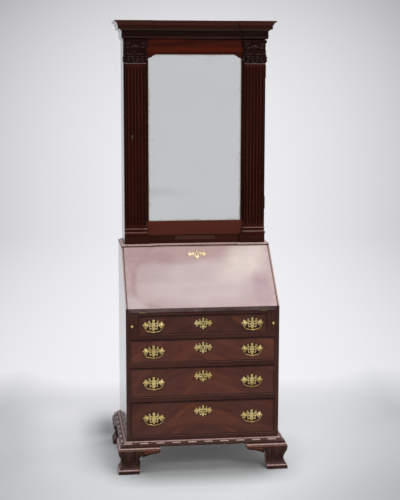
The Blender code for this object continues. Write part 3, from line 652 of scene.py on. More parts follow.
# painted highlights on the beads at the top and the pad of the feet, darker bands beside them
footWood = dict(deskWood, pale=tone(84, 50, 38), dark=tone(50, 28, 21), wearAndHighlight=0.7,
                wearAndHighlightColour=tone(160, 112, 94), topHighlight=0.25, topHighlightColour=tone(170, 126, 114), dirtAndShade=1.0,
                dirtAndShadeColour=tone(14, 7, 6), dirtAndShadeReach=0.005, edgeRadius=0.0006, specular=0.2,
                waxAndShade=0.85, waxAndShadeRange=(0.1, 0.7), waxAndShadeColour=tone(36, 19, 15), rubAndHighlight=0.7,
                rubAndHighlightRange=(0.75, 1.0), rubAndHighlightColour=tone(134, 94, 78), wing=0.55,
                wingColour=tone(124, 50, 38), flecks=75,
                heights=((0.0000, 0.0120, 0.8, tone(40, 22, 19)),
                         (0.0165, 0.0212, 0.9, tone(236, 198, 196)),
                         (0.0216, 0.0330, 0.7, tone(46, 25, 21)),
                         (0.1198, 0.1243, 0.95, tone(228, 194, 184)),
                         (0.1120, 0.1150, 0.7, tone(164, 100, 72))))
# a darker copy for the back feet: painted shade, as they stand in shadow
shadedBackFootWood = dict(footWood, pale=tone(38, 22, 17), dark=tone(20, 11, 9), wearAndHighlight=0.35,
                    wearAndHighlightColour=tone(84, 58, 50), topHighlight=0.1, rubAndHighlight=0.2, wing=0.2,
                    heights=((0.1198, 0.1243, 0.5, tone(120, 96, 90)),))
loperWood = dict(deskWood, waxAndShadeWidth=0.0024, waxAndShadeSoft=0.0005, waxAndShade=0.9, waxAndShadeColour=tone(22, 10, 8))
liningWood = {
    "pale": tone(168, 128, 84), "dark": tone(122, 86, 54), "bands": 0.5, "pores": 0.7,
    "roughness": (0.55, 0.75), "coat": 0.0, "coatRoughness": 0.3, "coatIor": 1.5,
    "specular": 0.3, "tint": (1.0, 1.0, 1.0, 1.0), "topHighlight": 0.0,
    "fade": 0.25, "fadeColour": tone(132, 104, 76), "wearAndHighlight": 0.3, "wearAndHighlightColour": tone(186, 150, 108),
    "dirtAndShade": 0.6, "dirtAndShadeColour": tone(62, 44, 30), "dirtAndShadeReach": 0.03, "edgeRadius": 0.0008,
    "bump": 0.45}
bottomWood = dict(deskWood, topHighlight=0.0, railDepth=0.040, railSoft=0.0002, board=dict(
    liningWood, pale=tone(104, 92, 80), dark=tone(74, 64, 54)))

slopeNormal = max(
    (face.normal for face in nodes["fall_escutcheon"].data.polygons if face.normal.z > 0.3),
    key=lambda normal: -normal.y).copy()
slopeAngle = math.atan2(-slopeNormal.y, slopeNormal.z)
slopeUp = Vector((0, math.cos(slopeAngle), math.sin(slopeAngle)))
slopeFoot = 0.7853  # height of the lower edge of the fall's outside
fallOuter = max(slopeNormal.dot(v.co) for v in nodes["fall_front"].data.vertices)


def paintFlutes(where, colour, values):
    # the deep parts of the flutes are darker
    _, y, z = splitPlace(where)
    deep = times(spread(y, *values["fluteDepth"]), between(z, *values["fluteReach"]))
    return mixColour(deep, colour, values["fluteColour"])


def paintStiles(where, colour, values):
    # upright grain in the door's stiles, beside the warmer wood of its rails
    rail = between(splitPlace(where)[0], *values["railReach"])
    return mixColour(rail, grainOf(where, values["stiles"], "Z")["Color"], colour)


def paintFoot(where, colour, values):
    # the ground of the carving is dark with old wax and painted shade, its ridges are rubbed and
    # take a painted highlight, the wings are redder
    tree = where.id_data
    wing = addNode(tree, "Attribute", attribute_name="wing").outputs["Fac"]
    carved = addNode(tree, "Attribute", attribute_name="carved").outputs["Fac"]
    colour = mixColour(times(wing, values["wing"]), colour, values["wingColour"])
    colour = mixColour(spread(carved, *values["waxAndShadeRange"], values["waxAndShade"], 0.0), colour,
                       values["waxAndShadeColour"])
    return mixColour(spread(carved, *values["rubAndHighlightRange"], 0.0, values["rubAndHighlight"]), colour,
                     values["rubAndHighlightColour"])


def paintSlant(where, colour, values):
    # the slanted edge has painted shade beside the fall and a painted highlight on its outer half
    slanted = spread(inDirection(surfaceNormal(where.id_data), slopeNormal), *values["slantRange"])
    outer = spread(unsigned(splitPlace(where)[0]), *values["waxAndShadeRange"])
    return mixColour(slanted, colour,
                     mixColour(outer, values["waxAndShadeColour"], values["edgeColour"]))


def paintBoard(where, colour, values):
    # the rail at the front of the bottom is mahogany, the board behind it oak
    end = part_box("desk_bottom")[0].y + values["railDepth"]
    lining = spread(splitPlace(where)[1], end - values["railSoft"], end)
    return mixColour(lining, colour, grainOf(where, values["board"])["Color"])


def within(where, name, edge, soft):
    # 1 where a place is farther than edge inside a piece, as seen from the front
    low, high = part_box(name)
    x, _, z = splitPlace(where)
    return times(between(x, low.x + edge, high.x - edge, soft),
                 between(z, low.z + edge, high.z - edge, soft))


def paintLoper(where, colour, values):
    # old wax and painted shade lie dark in the joints round the front of a loper
    clean = within(where, values["node"], values["waxAndShadeWidth"], values["waxAndShadeSoft"])
    return mixColour(spread(clean, 0.0, 1.0, values["waxAndShade"], 0.0), colour, values["waxAndShadeColour"])


drawerFinish = dict(
    deskWood, flamePale=tone(103, 60, 50), flameDark=tone(66, 37, 32), streak=tone(128, 70, 46),
    frontDepth=0.0208, frontSoft=0.0004, topHighlight=0.0, shades={1: 0.91, 2: 1.09, 3: 1.10, 4: 0.95},
    cut=(0.37, -0.21),  # how far on along Y and Z the next drawer's veneer is taken
    beadWidth=0.0028, waxAndShadeWidth=0.0065, waxAndShade=0.75, waxAndShadeSoft=0.0006, waxAndShadeColour=tone(30, 14, 12),
    beadRubAndHighlight=0.55, rubAndHighlightFromShare=0.8, beadColour=tone(142, 96, 86),
    topShade=0.9, topFromShares=(1.1, 0.8), shadeColour=tone(16, 7, 6),
    plateWaxAndShade=0.85, plateRange=(0.6, 0.95), wearAndHighlight=0.3)


def makeDrawerWood(number, values):
    # flame veneer on the front, plain oak behind it
    material, shader, where = newMaterial(f"drawerVeneer{number}")
    node = f"drawer_{number}"
    low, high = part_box(node)
    x, y, z = splitPlace(where)
    end = low.y + values["frontDepth"]
    shade = values["shades"][number] ** screenGamma
    alongY, alongZ = values["cut"]
    flame = useGroup(
        shader.id_data, flameGroup,
        {label: tuple(part * shade for part in values[key][:3]) + (1.0,) for label, key in
         (("Pale", "flamePale"), ("Dark", "flameDark"), ("Streak", "streak"))},
        mapped(where, place=(0, alongY * number, alongZ * number)))
    # painted shade and old wax lie dark along the inside of the bead; its lower edge is paler,
    # rubbed and with a painted highlight
    bead, soft = values["beadWidth"], values["waxAndShadeSoft"]
    ring = minus(within(where, node, bead, soft), within(where, node, values["waxAndShadeWidth"], soft))
    veneer = mixColour(times(ring, values["waxAndShade"]), flame["Color"], values["waxAndShadeColour"])
    rubAndHighlight = spread(z, low.z + bead * values["rubAndHighlightFromShare"], low.z + bead, values["beadRubAndHighlight"], 0.0)
    veneer = mixColour(rubAndHighlight, veneer, values["beadColour"])
    # painted shade along the top, under the rail above
    start, full = values["topFromShares"]
    top = spread(z, high.z - bead * start, high.z - bead * full, 0.0, values["topShade"])
    veneer = mixColour(top, veneer, values["shadeColour"])
    # and more behind the brasses: old wax where a cloth never reached, and painted shade round the
    # plates
    for plate in (f"handle_plate_{number}_left", f"handle_plate_{number}_right",
                  f"escutcheon_{number}"):
        lower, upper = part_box(plate)
        far = []
        for value, near, away in ((x, lower.x, upper.x), (z, lower.z, upper.z)):
            share = over(minus(value, (near + away) / 2), (away - near) / 2)
            far.append(times(share, share))
        behind = spread(plus(*far), *values["plateRange"], values["plateWaxAndShade"], 0.0)
        veneer = mixColour(behind, veneer, values["waxAndShadeColour"])
    lining = spread(y, end - values["frontSoft"], end)
    colour = mixColour(lining, veneer, grainOf(where, liningWood, "Y")["Color"])
    finishWood(shader, where, colour, flame["Height"], values)
    return material


fallFinish = dict(
    deskWood, pale=tone(196, 160, 157), dark=tone(167, 129, 127), bands=0.7, pores=0.35,
    wearAndHighlight=0.35, wearAndHighlightColour=tone(200, 168, 160), fade=0.3, fadeColour=tone(186, 160, 157),
    coat=0.75, coatRoughness=0.22, roughness=(0.30, 0.44), specular=0.2, tint=(1, 1, 1, 1),
    topHighlight=0.0, outside=(0.0042, 0.0040), facing=(0.80, 0.88), cleat=0.052, cleatSoft=0.0003,
    inside=dict(deskWood, pale=tone(98, 54, 42), dark=tone(62, 30, 23)), innerCoat=0.12,
    lipTop=0.7852, lipSoft=0.0012, lipDepth=(0.0008, 0.0016), lipColour=tone(52, 26, 23),
    lipAmount=0.75,
    sway=(6, 3), swayRange=(0.3, 0.7), roundness=3.0,
    oval={"x": 0.0, "up": 0.160, "wide": 0.327, "high": 0.170, "wobble": 0.05,
          "range": (0.45, 0.98, 0.85, 0.0), "inside": tone(209, 189, 190), "clouds": (4.5, 3),
          "cloudRange": (0.3, 0.7, 0.55, 1.0), "lineReach": (0.95, 1.02, 0.05),
          "lineFade": (-0.28, -0.05, 1.0, 0.15), "line": tone(156, 104, 108)},
    bloom=(13, 5, 0.65, 0.4), bloomRange=(0.35, 0.7, 0.0, 0.25),
    lidPatchWobble=0.12, lidPatchRange=(0.25, 1.1),
    lidPatches=(  # across, up the slope, width, height, how strong, colour
        (0.228, 0.265, 0.12, 0.11, 0.85, tone(236, 220, 206)),
        (0.150, 0.205, 0.09, 0.08, 0.55, tone(228, 210, 199)),
        (0.255, 0.345, 0.10, 0.05, 0.6, tone(232, 215, 206)),
        # a painted shadow at the lower right of the fall
        (0.290, 0.12, 0.050, 0.12, 0.85, tone(166, 128, 138)),
        (-0.19, 0.310, 0.20, 0.060, 0.85, tone(164, 120, 118)),
        (0.00, 0.325, 0.16, 0.05, 0.6, tone(182, 138, 132)),
        (-0.22, 0.215, 0.10, 0.07, 0.55, tone(174, 146, 148)),
        (-0.325, 0.03, 0.07, 0.06, 0.6, tone(206, 186, 190))))


def makeFallWood(values):
    # the outside is bleached, more within an oval that something flat once stood on; the
    # inside kept its colour
    material, shader, where = newMaterial("fallMahogany")
    low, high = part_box("fall_front")
    x, y, z = splitPlace(where)
    start, full = values["outside"]
    outer = times(spread(inDirection(where, slopeNormal), fallOuter - start, fallOuter - full),
                  spread(inDirection(surfaceNormal(shader.id_data), slopeNormal),
                         *values["facing"]))
    along = mapped(where, turn=(slopeAngle, 0, 0))
    board = grainOf(along, values)
    middle = between(x, low.x + values["cleat"], high.x - values["cleat"], values["cleatSoft"])
    colour = mixColour(middle, grainOf(along, values, "Y")["Color"], board["Color"])
    # how far up the slope a point lies, from the lower edge of the outside
    up = minus(inDirection(where, slopeUp), slopeUp.dot(Vector((0, low.y, slopeFoot))))

    def distance(placeX, placeUp, wide, tall, wobble):
        far = [calculate("POWER", unsigned(over(minus(value, place), half)), values["roundness"])
               for value, place, half in ((x, placeX, wide), (up, placeUp, tall))]
        sway = spread(noise(where, *values["sway"]), *values["swayRange"], -wobble, wobble)
        return plus(calculate("SQRT", plus(*far)), sway)

    oval = values["oval"]
    far = distance(oval["x"], oval["up"], oval["wide"], oval["high"], oval["wobble"])
    cloudy = spread(noise(where, *oval["clouds"]), *oval["cloudRange"])
    colour = mixColour(times(spread(far, *oval["range"]), cloudy), colour, oval["inside"])
    line = times(between(far, *oval["lineReach"]), spread(x, *oval["lineFade"]))
    colour = mixColour(line, colour, oval["line"])
    for placeX, placeUp, wide, tall, amount, paint in values["lidPatches"]:
        far = distance(placeX, placeUp, wide, tall, values["lidPatchWobble"])
        colour = mixColour(spread(far, *values["lidPatchRange"], amount, 0.0), colour, paint)
    # cloudy old polish over all of it
    bloom = spread(noise(where, *values["bloom"]), *values["bloomRange"])
    colour = mixColour(bloom, colour, oval["inside"])
    # the lip at the foot of the fall carries painted shade
    start, end = values["lipDepth"]
    lip = times(spread(z, values["lipTop"] - values["lipSoft"], values["lipTop"], 1.0, 0.0),
                spread(y, low.y + start, low.y + end, 1.0, 0.0))
    inner = mixColour(times(lip, values["lipAmount"]), grainOf(along, values["inside"])["Color"],
                      values["lipColour"])
    finishWood(shader, where, mixColour(outer, inner, colour), board["Height"], values)
    link(spread(outer, 0.0, 1.0, values["innerCoat"], values["coat"]),
         shader.inputs["Coat Weight"])
    return material


backFinish = dict(
    liningWood, board=0.118, shift=2.020, shade=0.22, cut=3.7, seamRange=(0.004, 0.012),
    seamColour=tone(30, 20, 14), seamDepth=3, nailRow=0.262, nailRadius=0.0032,
    nailCoreShare=0.85, nailColour=tone(34, 28, 26), nailHeight=1.5,
    firstRow={"deskBackOak": 0.150, "upperBackOak": 1.056})


def makeBackWood(name, values):
    # upright boards, each of its own shade, with a nail through each in rows
    material, shader, where = newMaterial(name)
    x, y, z = splitPlace(where)
    count = over(plus(x, values["shift"]), values["board"])
    number = calculate("FLOOR", count)
    across = minus(count, number)
    grain = grainOf(joinPlace(x, y, plus(z, times(number, values["cut"]))), values, "Z")
    shade = addNode(shader.id_data, "TexWhiteNoise", noise_dimensions="1D")
    link(number, shade.inputs["W"])
    colour = mixColour(times(shade.outputs["Value"], values["shade"]), grain["Color"],
                       values["dirtAndShadeColour"])
    edge = calculate("MINIMUM", across, minus(1.0, across))
    seam = spread(edge, *values["seamRange"], 1.0, 0.0)
    colour = mixColour(seam, colour, values["seamColour"])
    # nails: how far a place is from the middle of its board and from the nearest row
    sideways = times(minus(across, 0.5), values["board"])
    row = over(minus(z, values["firstRow"][name]), values["nailRow"])
    upright = times(minus(row, calculate("ROUND", row)), values["nailRow"])
    far = calculate("SQRT", plus(times(sideways, sideways), times(upright, upright)))
    radius = values["nailRadius"]
    nail = spread(far, radius * values["nailCoreShare"], radius, 1.0, 0.0)
    colour = mixColour(nail, colour, values["nailColour"])
    height = plus(minus(grain["Height"], times(seam, values["seamDepth"])),
                  times(nail, values["nailHeight"]))
    finishWood(shader, where, colour, height, values)
    return material


brassFinish = {
    "pale": tone(255, 231, 168), "deep": tone(200, 167, 90), "tarnish": tone(66, 48, 18),
    "roughness": (0.20, 0.34), "edgeRadius": 0.0004, "cast": 0.5, "castDepth": 0.0016,
    "rough": (210, 2, 0.5), "fine": (900, 2, 0.6), "fineShare": 0.12, "polishScale": (3, 3, 3),
    "spots": (90, 4, 0.7), "spotRange": (0.60, 0.72, 0.0, 0.5), "dirtAndShadeReach": 0.004, "dirtAndShade": 0.75}
bailFinish = dict(brassFinish, pale=tone(214, 190, 130), deep=tone(142, 118, 62))
# darker than the drawer brass to offset the strong light from above: painted shade
shadedFallBrassFinish = dict(brassFinish, pale=tone(212, 192, 160), deep=tone(160, 136, 108),
                       roughness=(0.26, 0.40), cast=0.9)
hingeFinish = dict(brassFinish, pale=tone(142, 122, 92), deep=tone(98, 80, 58),
                   tarnish=tone(48, 34, 18), roughness=(0.30, 0.46), cast=0.3)
# near-black: painted shade inside the locks
lockShadeFinish = dict(hingeFinish, pale=tone(26, 23, 21), deep=tone(14, 12, 11),
                  tarnish=tone(8, 6, 5), cast=0.2)


def makeBrass(name, values):
    material, shader, where = newMaterial(name)
    tree = shader.id_data
    low, high = values["roughness"]
    polish = useGroup(tree, polishGroup, {"Low": low, "High": high},
                      mapped(where, values["polishScale"]))
    dirtAndShade = useGroup(tree, recessShadeGroup, {"Reach": values["dirtAndShadeReach"]})
    edge = useGroup(tree, edgeGroup, {"Radius": values["edgeRadius"]}, where)
    cast = plus(noise(where, *values["rough"]),
                times(noise(where, *values["fine"]), values["fineShare"]))
    colour = mixColour(polish["Mask"], values["pale"], values["deep"])
    spots = spread(noise(where, *values["spots"]), *values["spotRange"])
    colour = mixColour(spots, colour, values["tarnish"])
    colour = mixColour(times(dirtAndShade["Mask"], values["dirtAndShade"]), colour, values["tarnish"])
    link(colour, shader.inputs["Base Color"])
    link(polish["Roughness"], shader.inputs["Roughness"])
    shader.inputs["Metallic"].default_value = 1.0
    addBump(shader, cast, values["cast"], values["castDepth"], edge["Normal"])
    return material


mirrorFinish = {
    "glass": tone(240, 240, 240), "cloudy": tone(205, 208, 212), "smeared": tone(176, 178, 184),
    "edge": tone(186, 176, 150), "spot": tone(96, 82, 62),
    "half": 0.2255, "low": 1.1535, "high": 1.9555,
    "ragged": (16, 5, 0.7), "raggedRange": (0.45, 0.75), "raggedReach": 0.010,
    "edgeRange": (-0.004, 0.008, 0.75, 0.0), "edgeDull": 0.6,
    "speckle": (130, 4, 0.75), "speckleRange": (0.60, 0.68), "foxRange": (0.0, 0.05, 1.0, 0.05),
    "foxAmount": 0.8, "clouds": (3.2, 3, 0.5), "cloudRange": (0.35, 0.7, 0.0, 0.10),
    "smearSway": (6, 3), "smearReach": 0.06, "smearBand": (1.305, 1.335, 0.02),
    "smearFade": (-0.20, 0.02, 0.30, 0.0), "roughness": (0.06, 0.5), "waves": (5, 2),
    "bump": 0.05, "bumpDepth": 0.0004}


def makeMirror(values):
    # old silvering: clear in the middle, clouded and spotted towards its edges
    material, shader, where = newMaterial("oldMirror")
    x, _, z = splitPlace(where)
    near = calculate("MINIMUM", minus(values["half"], unsigned(x)), calculate(
        "MINIMUM", minus(z, values["low"]), minus(values["high"], z)))
    ragged = spread(noise(where, *values["ragged"]), *values["raggedRange"])
    ragged = minus(near, times(ragged, values["raggedReach"]))
    edge = spread(ragged, *values["edgeRange"])
    speckle = spread(noise(where, *values["speckle"]), *values["speckleRange"])
    fox = times(speckle, spread(ragged, *values["foxRange"]))
    cloud = spread(noise(where, *values["clouds"]), *values["cloudRange"])
    colour = mixColour(cloud, values["glass"], values["cloudy"])
    sway = times(noise(where, *values["smearSway"]), values["smearReach"])
    smear = times(between(plus(z, sway), *values["smearBand"]),
                  spread(x, *values["smearFade"]))
    colour = mixColour(smear, colour, values["smeared"])
    colour = mixColour(edge, colour, values["edge"])
    colour = mixColour(times(fox, values["foxAmount"]), colour, values["spot"])
    link(colour, shader.inputs["Base Color"])
    link(minus(1.0, times(edge, values["edgeDull"])), shader.inputs["Metallic"])
    link(spread(calculate("MAXIMUM", edge, fox), 0, 1, *values["roughness"]),
         shader.inputs["Roughness"])
    addBump(shader, noise(where, *values["waves"]), values["bump"], values["bumpDepth"])
    return material


brass = makeBrass("agedBrass", brassFinish)
bailBrass = makeBrass("bailBrass", bailFinish)
hingeBrass = makeBrass("dullBrass", hingeFinish)
shadedFallBrass = makeBrass("shadedFallBrass", shadedFallBrassFinish)
lockInShade = makeBrass("lockInShade", lockShadeFinish)
woods = {
    "desk": makeWood("deskMahoganyX", deskWood),
    "carvedDesk": makeWood("carvedDeskMahogany", deskCarvedWood),
    "carvedUpper": makeWood("carvedUpperMahogany", carvedWood, "Z"),
    "dash": makeWood("rubbedAndHighlitMahogany", dashWood),
    "foot": makeWood("footMahogany", footWood, paint=paintFoot),
    "shadedBackFoot": makeWood("shadedBackFootMahogany", shadedBackFootWood, paint=paintFoot)}
finishOf = {}
for material, names in (
        (woods["desk"], ("drawer_rail_upper", "drawer_rail_lower", "foot_front_left",
                         "foot_front_right", "foot_back_left", "foot_back_right")),
        (makeWood("deskSideMahogany", deskSideWood, "Z", paintSlant),
         ("desk_side_left", "desk_side_right")),
        (makeWood("deskTopMahogany", deskTopWood), ("desk_top",)),
        (makeWood("frameMahogany", frameWood), ("loper_frame",)),
        (makeWood("mouldedMahogany", mouldingWood), ("base_moulding",)),
        (makeWood("bottomWood", bottomWood, paint=paintBoard), ("desk_bottom",)),
        (makeFallWood(fallFinish), ("fall_front",)),
        (makeWood("upperSideMahogany", upperSideWood, "Z"),
         ("upper_side_left", "upper_side_right")),
        (makeWood("pilasterMahogany", pilasterWood, "Z", paintFlutes),
         ("pilaster_left", "pilaster_right")),
        (makeWood("doorMahogany", doorWood, paint=paintStiles), ("door_frame",)),
        (makeMirror(mirrorFinish), ("mirror",)),
        (makeWood("corniceMahogany", corniceWood), ("cornice",)),
        (makeWood("plinthMahogany", plinthWood), ("upper_base",)),
        (makeWood("slideMahogany", slideWood), ("candle_slide",)),
        (makeWood("liningOakX", liningWood),
         ("pigeonhole_case", "upper_top", "shelf_lower", "shelf_upper")),
        (makeWood("liningOakZ", liningWood, "Z"), ("mirror_backboard",)),
        (makeBackWood("deskBackOak", backFinish), ("desk_back",)),
        (makeBackWood("upperBackOak", backFinish), ("upper_back",)),
        (hingeBrass, ("door_hinge_lower", "door_hinge_upper",
                      "fall_hinge_left", "fall_hinge_right"))):
    for name in names:
        finishOf[name] = material
for side, _ in sides:
    node = "loper_" + side
    finishOf[node] = makeWood("loperMahogany" + side.title(), dict(loperWood, node=node), "Y",
                              paintLoper)
for number in drawerNumbers:
    finishOf[f"drawer_{number}"] = makeDrawerWood(number, drawerFinish)
for name, item in nodes.items():
    material = finishOf.get(name, brass)
    for slot in item.material_slots:
        slot.material = material
print("finishes made:", len(bpy.data.materials))


def finishPiece(piece, material, body):
    piece.data.materials.clear()
    piece.data.materials.append(material)
    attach(piece, body)


# Brasses

plateShape = {  # half of it, as shares of its half width and half height
    "outline": (
        (0.00, 1.00), (0.08, 0.93), (0.12, 0.80), (0.09, 0.60), (0.12, 0.40), (0.21, 0.33),
        (0.27, 0.52), (0.33, 0.76), (0.42, 0.80), (0.47, 0.66), (0.46, 0.46), (0.53, 0.33),
        (0.62, 0.42), (0.70, 0.60), (0.78, 0.58), (0.83, 0.44), (0.86, 0.27), (0.94, 0.12),
        (1.00, 0.02), (0.93, -0.08), (0.85, -0.13), (0.81, -0.26), (0.78, -0.42),
        (0.69, -0.50), (0.60, -0.44), (0.53, -0.20), (0.46, -0.08), (0.39, -0.18),
        (0.37, -0.44), (0.36, -0.62), (0.28, -0.74), (0.20, -0.68), (0.13, -0.60),
        (0.11, -0.80), (0.045, -0.95), (0.00, -1.00)),
    "piercings": (
        ((0.15, 0.10), (0.23, 0.19), (0.32, 0.09), (0.23, -0.02)),
        ((0.37, 0.24), (0.42, 0.36), (0.47, 0.22), (0.42, 0.11)),
        ((0.15, -0.32), (0.22, -0.16), (0.30, -0.30), (0.23, -0.54)),
        ((0.35, 0.60), (0.39, 0.68), (0.43, 0.58), (0.39, 0.48)),
        ((0.62, -0.22), (0.68, -0.14), (0.72, -0.24), (0.67, -0.36))),
    "keyhole": ((-0.0020, -0.0078), (0.0020, -0.0078), (0.0015, 0.0002), (0.0032, 0.0034),
                (0.0023, 0.0070), (0.0, 0.0082), (-0.0023, 0.0070), (-0.0032, 0.0034),
                (-0.0015, 0.0002)),
    "thickness": 0.0014, "edge": 0.0003, "bedding": 0.0002,
    "pinAcrossShare": 0.47, "pinCorners": 10, "pinStart": 0.0013,
    "pin": ((0.0005, 0.0012), (0.0009, 0.0007), (0.0010, 0.0))}
plateFace = plateShape["bedding"] - plateShape["thickness"]


def middleOf(name, y=None):
    # the middle of a node's box, at another depth if one is given
    low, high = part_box(name)
    middle = (Vector(low) + Vector(high)) / 2
    if y is not None:
        middle.y = y
    return middle


def mirroredLoop(half):
    # an outline from its right half, whose first and last points are on the axis
    return half + [(-a, b) for a, b in reversed(half[1:-1])]


def makeWillowPlate(name, halfWidth, halfHeight, keyhole):
    def sized(shares):
        return [(a * halfWidth, b * halfHeight) for a, b in shares]

    loops = [mirroredLoop(sized(plateShape["outline"]))]
    for index, shares in enumerate(plateShape["piercings"]):
        if keyhole and index == 1:  # here the pins go through
            continue
        hole = sized(shares)
        loops += [hole, [(-a, b) for a, b in hole]]
    if keyhole:
        loops.append(plateShape["keyhole"])
    parts = [flatPlate(name, loops, plateShape["thickness"], plateShape["edge"])]
    if keyhole:  # two round-headed pins hold it
        pin = turned("pin", plateShape["pinStart"], plateShape["pin"], plateShape["pinCorners"])
        for side in (-1, 1):
            parts.append(placed(pin, "pin", (
                side * halfWidth * plateShape["pinAcrossShare"], plateFace, 0.0)))
        removePieces(pin)
    return joinPieces(parts, name)


handle = {
    "postSpread": 0.073, "drop": 0.0320, "outer": 0.0465, "radius": 0.0019, "resolution": 3,
    "postStart": 0.0072, "postCorners": 18,
    "post": ((0.0004, 0.0072), (0.0009, 0.0066), (0.0013, 0.0050), (0.0022, 0.0034),
             (0.0040, 0.0031), (0.0052, 0.0040), (0.0064, 0.0045), (0.0082, 0.0044),
             (0.0096, 0.0036), (0.0104, 0.0024), (0.0108, 0.0010), (0.0110, 0.0)),
    "line": ((0.84, 0.00), (0.92, 0.03), (0.97, -0.02), (0.985, -0.12), (0.94, -0.30),
             (0.84, -0.50), (0.73, -0.67), (0.60, -0.81), (0.50, -0.865), (0.42, -0.865),
             (0.33, -0.89), (0.20, -0.95), (0.09, -0.98), (0.0, -1.0)),
    "swells": (0.95, 0.85, 0.85, 0.9, 0.95, 1.0, 1.05, 1.15, 1.45, 1.1, 1.25, 1.3, 1.35, 1.65)}


def makeHandles():
    low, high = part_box("handle_plate_1_left")
    plate = makeWillowPlate("plate", (high.x - low.x) / 2, (high.z - low.z) / 2, False)
    post = turned("post", handle["postStart"], handle["post"], handle["postCorners"])
    pair = [placed(post, "post", (side * handle["postSpread"] / 2, plateFace, 0))
            for side in (-1, 1)]
    removePieces(post)
    plate = joinPieces([plate] + pair, "plate")
    half = [(a * handle["outer"], 0, b * handle["drop"]) for a, b in handle["line"]]
    line = half + [(-a, y, b) for a, y, b in reversed(half[:-1])]
    swells = handle["swells"] + tuple(reversed(handle["swells"][:-1]))
    bail = bentRod("bail", line, handle["radius"], swells, handle["resolution"])
    for number in drawerNumbers:
        for side, _ in sides:
            plateNode, bailNode = f"handle_plate_{number}_{side}", f"bail_{number}_{side}"
            place = middleOf(plateNode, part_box(plateNode)[1].y)
            made = placed(plate, f"willowPlate_{number}_{side}", place)
            finishPiece(made, brass, f"drawer_{number}")
            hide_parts(plateNode)
            place.y = middleOf(bailNode).y
            made = placed(bail, f"bailHandle_{number}_{side}", place)
            finishPiece(made, bailBrass, bailNode)
            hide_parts(bailNode)
    removePieces(plate, bail)


def fallMiddle():
    # where the fall's escutcheon lies: its back on the slope, and half its height
    points = [vertex.co for vertex in nodes["fall_escutcheon"].data.vertices]
    ends = [slopeUp.dot(point) for point in points]
    back = min(slopeNormal.dot(point) for point in points)
    return back, (min(ends) + max(ends)) / 2, (max(ends) - min(ends)) / 2


def layOnSlope(plate, lift):
    # turns an upright plate to lie on the fall, over the place of its escutcheon
    back, up, _ = fallMiddle()
    place = slopeNormal * (back + lift) + slopeUp * up
    plate.data.transform(Matrix.Translation(place)
                         @ Matrix.Rotation(slopeAngle - math.pi / 2, 4, "X"))


def makeEscutcheons():
    low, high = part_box("escutcheon_1")
    plate = makeWillowPlate("plate", (high.x - low.x) / 2, (high.z - low.z) / 2, True)
    for number in drawerNumbers:
        node = f"escutcheon_{number}"
        made = placed(plate, f"willowEscutcheon_{number}", middleOf(node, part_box(node)[1].y))
        finishPiece(made, brass, f"drawer_{number}")
        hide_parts(node)
    removePieces(plate)
    low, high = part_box("fall_escutcheon")
    plate = makeWillowPlate("fallEscutcheonPlate", (high.x - low.x) / 2, fallMiddle()[2], True)
    layOnSlope(plate, 0)
    finishPiece(plate, shadedFallBrass, "fall")
    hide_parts("fall_escutcheon")


loperKnob = {
    "heightShare": 0.46, "front": -0.2467, "start": 0.0066,
    "steps": ((0.0004, 0.0066), (0.0010, 0.0062), (0.0014, 0.0046), (0.0028, 0.0038),
              (0.0046, 0.0042), (0.0062, 0.0053), (0.0078, 0.0054), (0.0094, 0.0050),
              (0.0106, 0.0036), (0.0110, 0.0018), (0.0111, 0.0))}


def makeLoperKnobs():
    knob = turned("knob", loperKnob["start"], loperKnob["steps"])
    for side, _ in sides:
        low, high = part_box(f"loper_{side}")
        place = middleOf(f"loper_{side}", loperKnob["front"])
        place.z = low.z + (high.z - low.z) * loperKnob["heightShare"]
        finishPiece(placed(knob, f"loperKnob_{side}", place), brass, f"loper_{side}")
    removePieces(knob)


lock = {
    "loop": ((0, 0.0096), (0.0036, 0.0084), (0.0046, 0.0036), (0.0038, -0.0020),
             (0.0034, -0.0090), (-0.0034, -0.0090), (-0.0038, -0.0020), (-0.0046, 0.0036),
             (-0.0036, 0.0084)),
    "thickness": 0.0004, "edge": 0.0001, "sunk": 0.0001}


def makeLocks():
    # a near-black plate behind each escutcheon's keyhole: painted shade inside the lock
    for number in drawerNumbers:
        node = f"escutcheon_{number}"
        plate = flatPlate(f"lockPlate_{number}", [lock["loop"]], lock["thickness"], lock["edge"])
        plate.data.transform(Matrix.Translation(
            middleOf(node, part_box(node)[1].y + lock["sunk"])))
        finishPiece(plate, lockInShade, f"drawer_{number}")
    plate = flatPlate("lockPlate_fall", [lock["loop"]], lock["thickness"], lock["edge"])
    layOnSlope(plate, -lock["sunk"])
    finishPiece(plate, lockInShade, "fall")


doorKeyhole = {
    "place": (-0.3040, 0.0680, 1.5612), "half": (0.0042, 0.0098),
    "thickness": 0.0010, "edge": 0.0002,
    "rimShares": ((0, 1), (0.8, 0.8), (1, 0.5), (0.75, 0.1), (0.6, -0.4), (0.62, -0.9), (0, -1)),
    "hole": ((-0.0011, -0.0062), (0.0011, -0.0062), (0.0009, 0.0006), (0.0020, 0.0030),
             (0.0014, 0.0058), (0.0, 0.0066), (-0.0014, 0.0058), (-0.0020, 0.0030),
             (-0.0009, 0.0006))}


def makeDoorKeyhole():
    wide, tall = doorKeyhole["half"]
    rim = mirroredLoop([(a * wide, b * tall) for a, b in doorKeyhole["rimShares"]])
    plate = flatPlate("keyholeLiner", [rim, doorKeyhole["hole"]], doorKeyhole["thickness"],
                      doorKeyhole["edge"])
    plate.data.transform(Matrix.Translation(doorKeyhole["place"]))
    finishPiece(plate, hingeBrass, "door")


makeHandles()
makeEscutcheons()
makeLoperKnobs()
makeDoorKeyhole()
makeLocks()
print("brasses made")


# Carving

def swelling(v, start, length, power):
    # how a carved piece swells and thins again along its length, as v goes from 0 to 1
    return math.sin(math.pi * min(1.0, start + length * v)) ** power


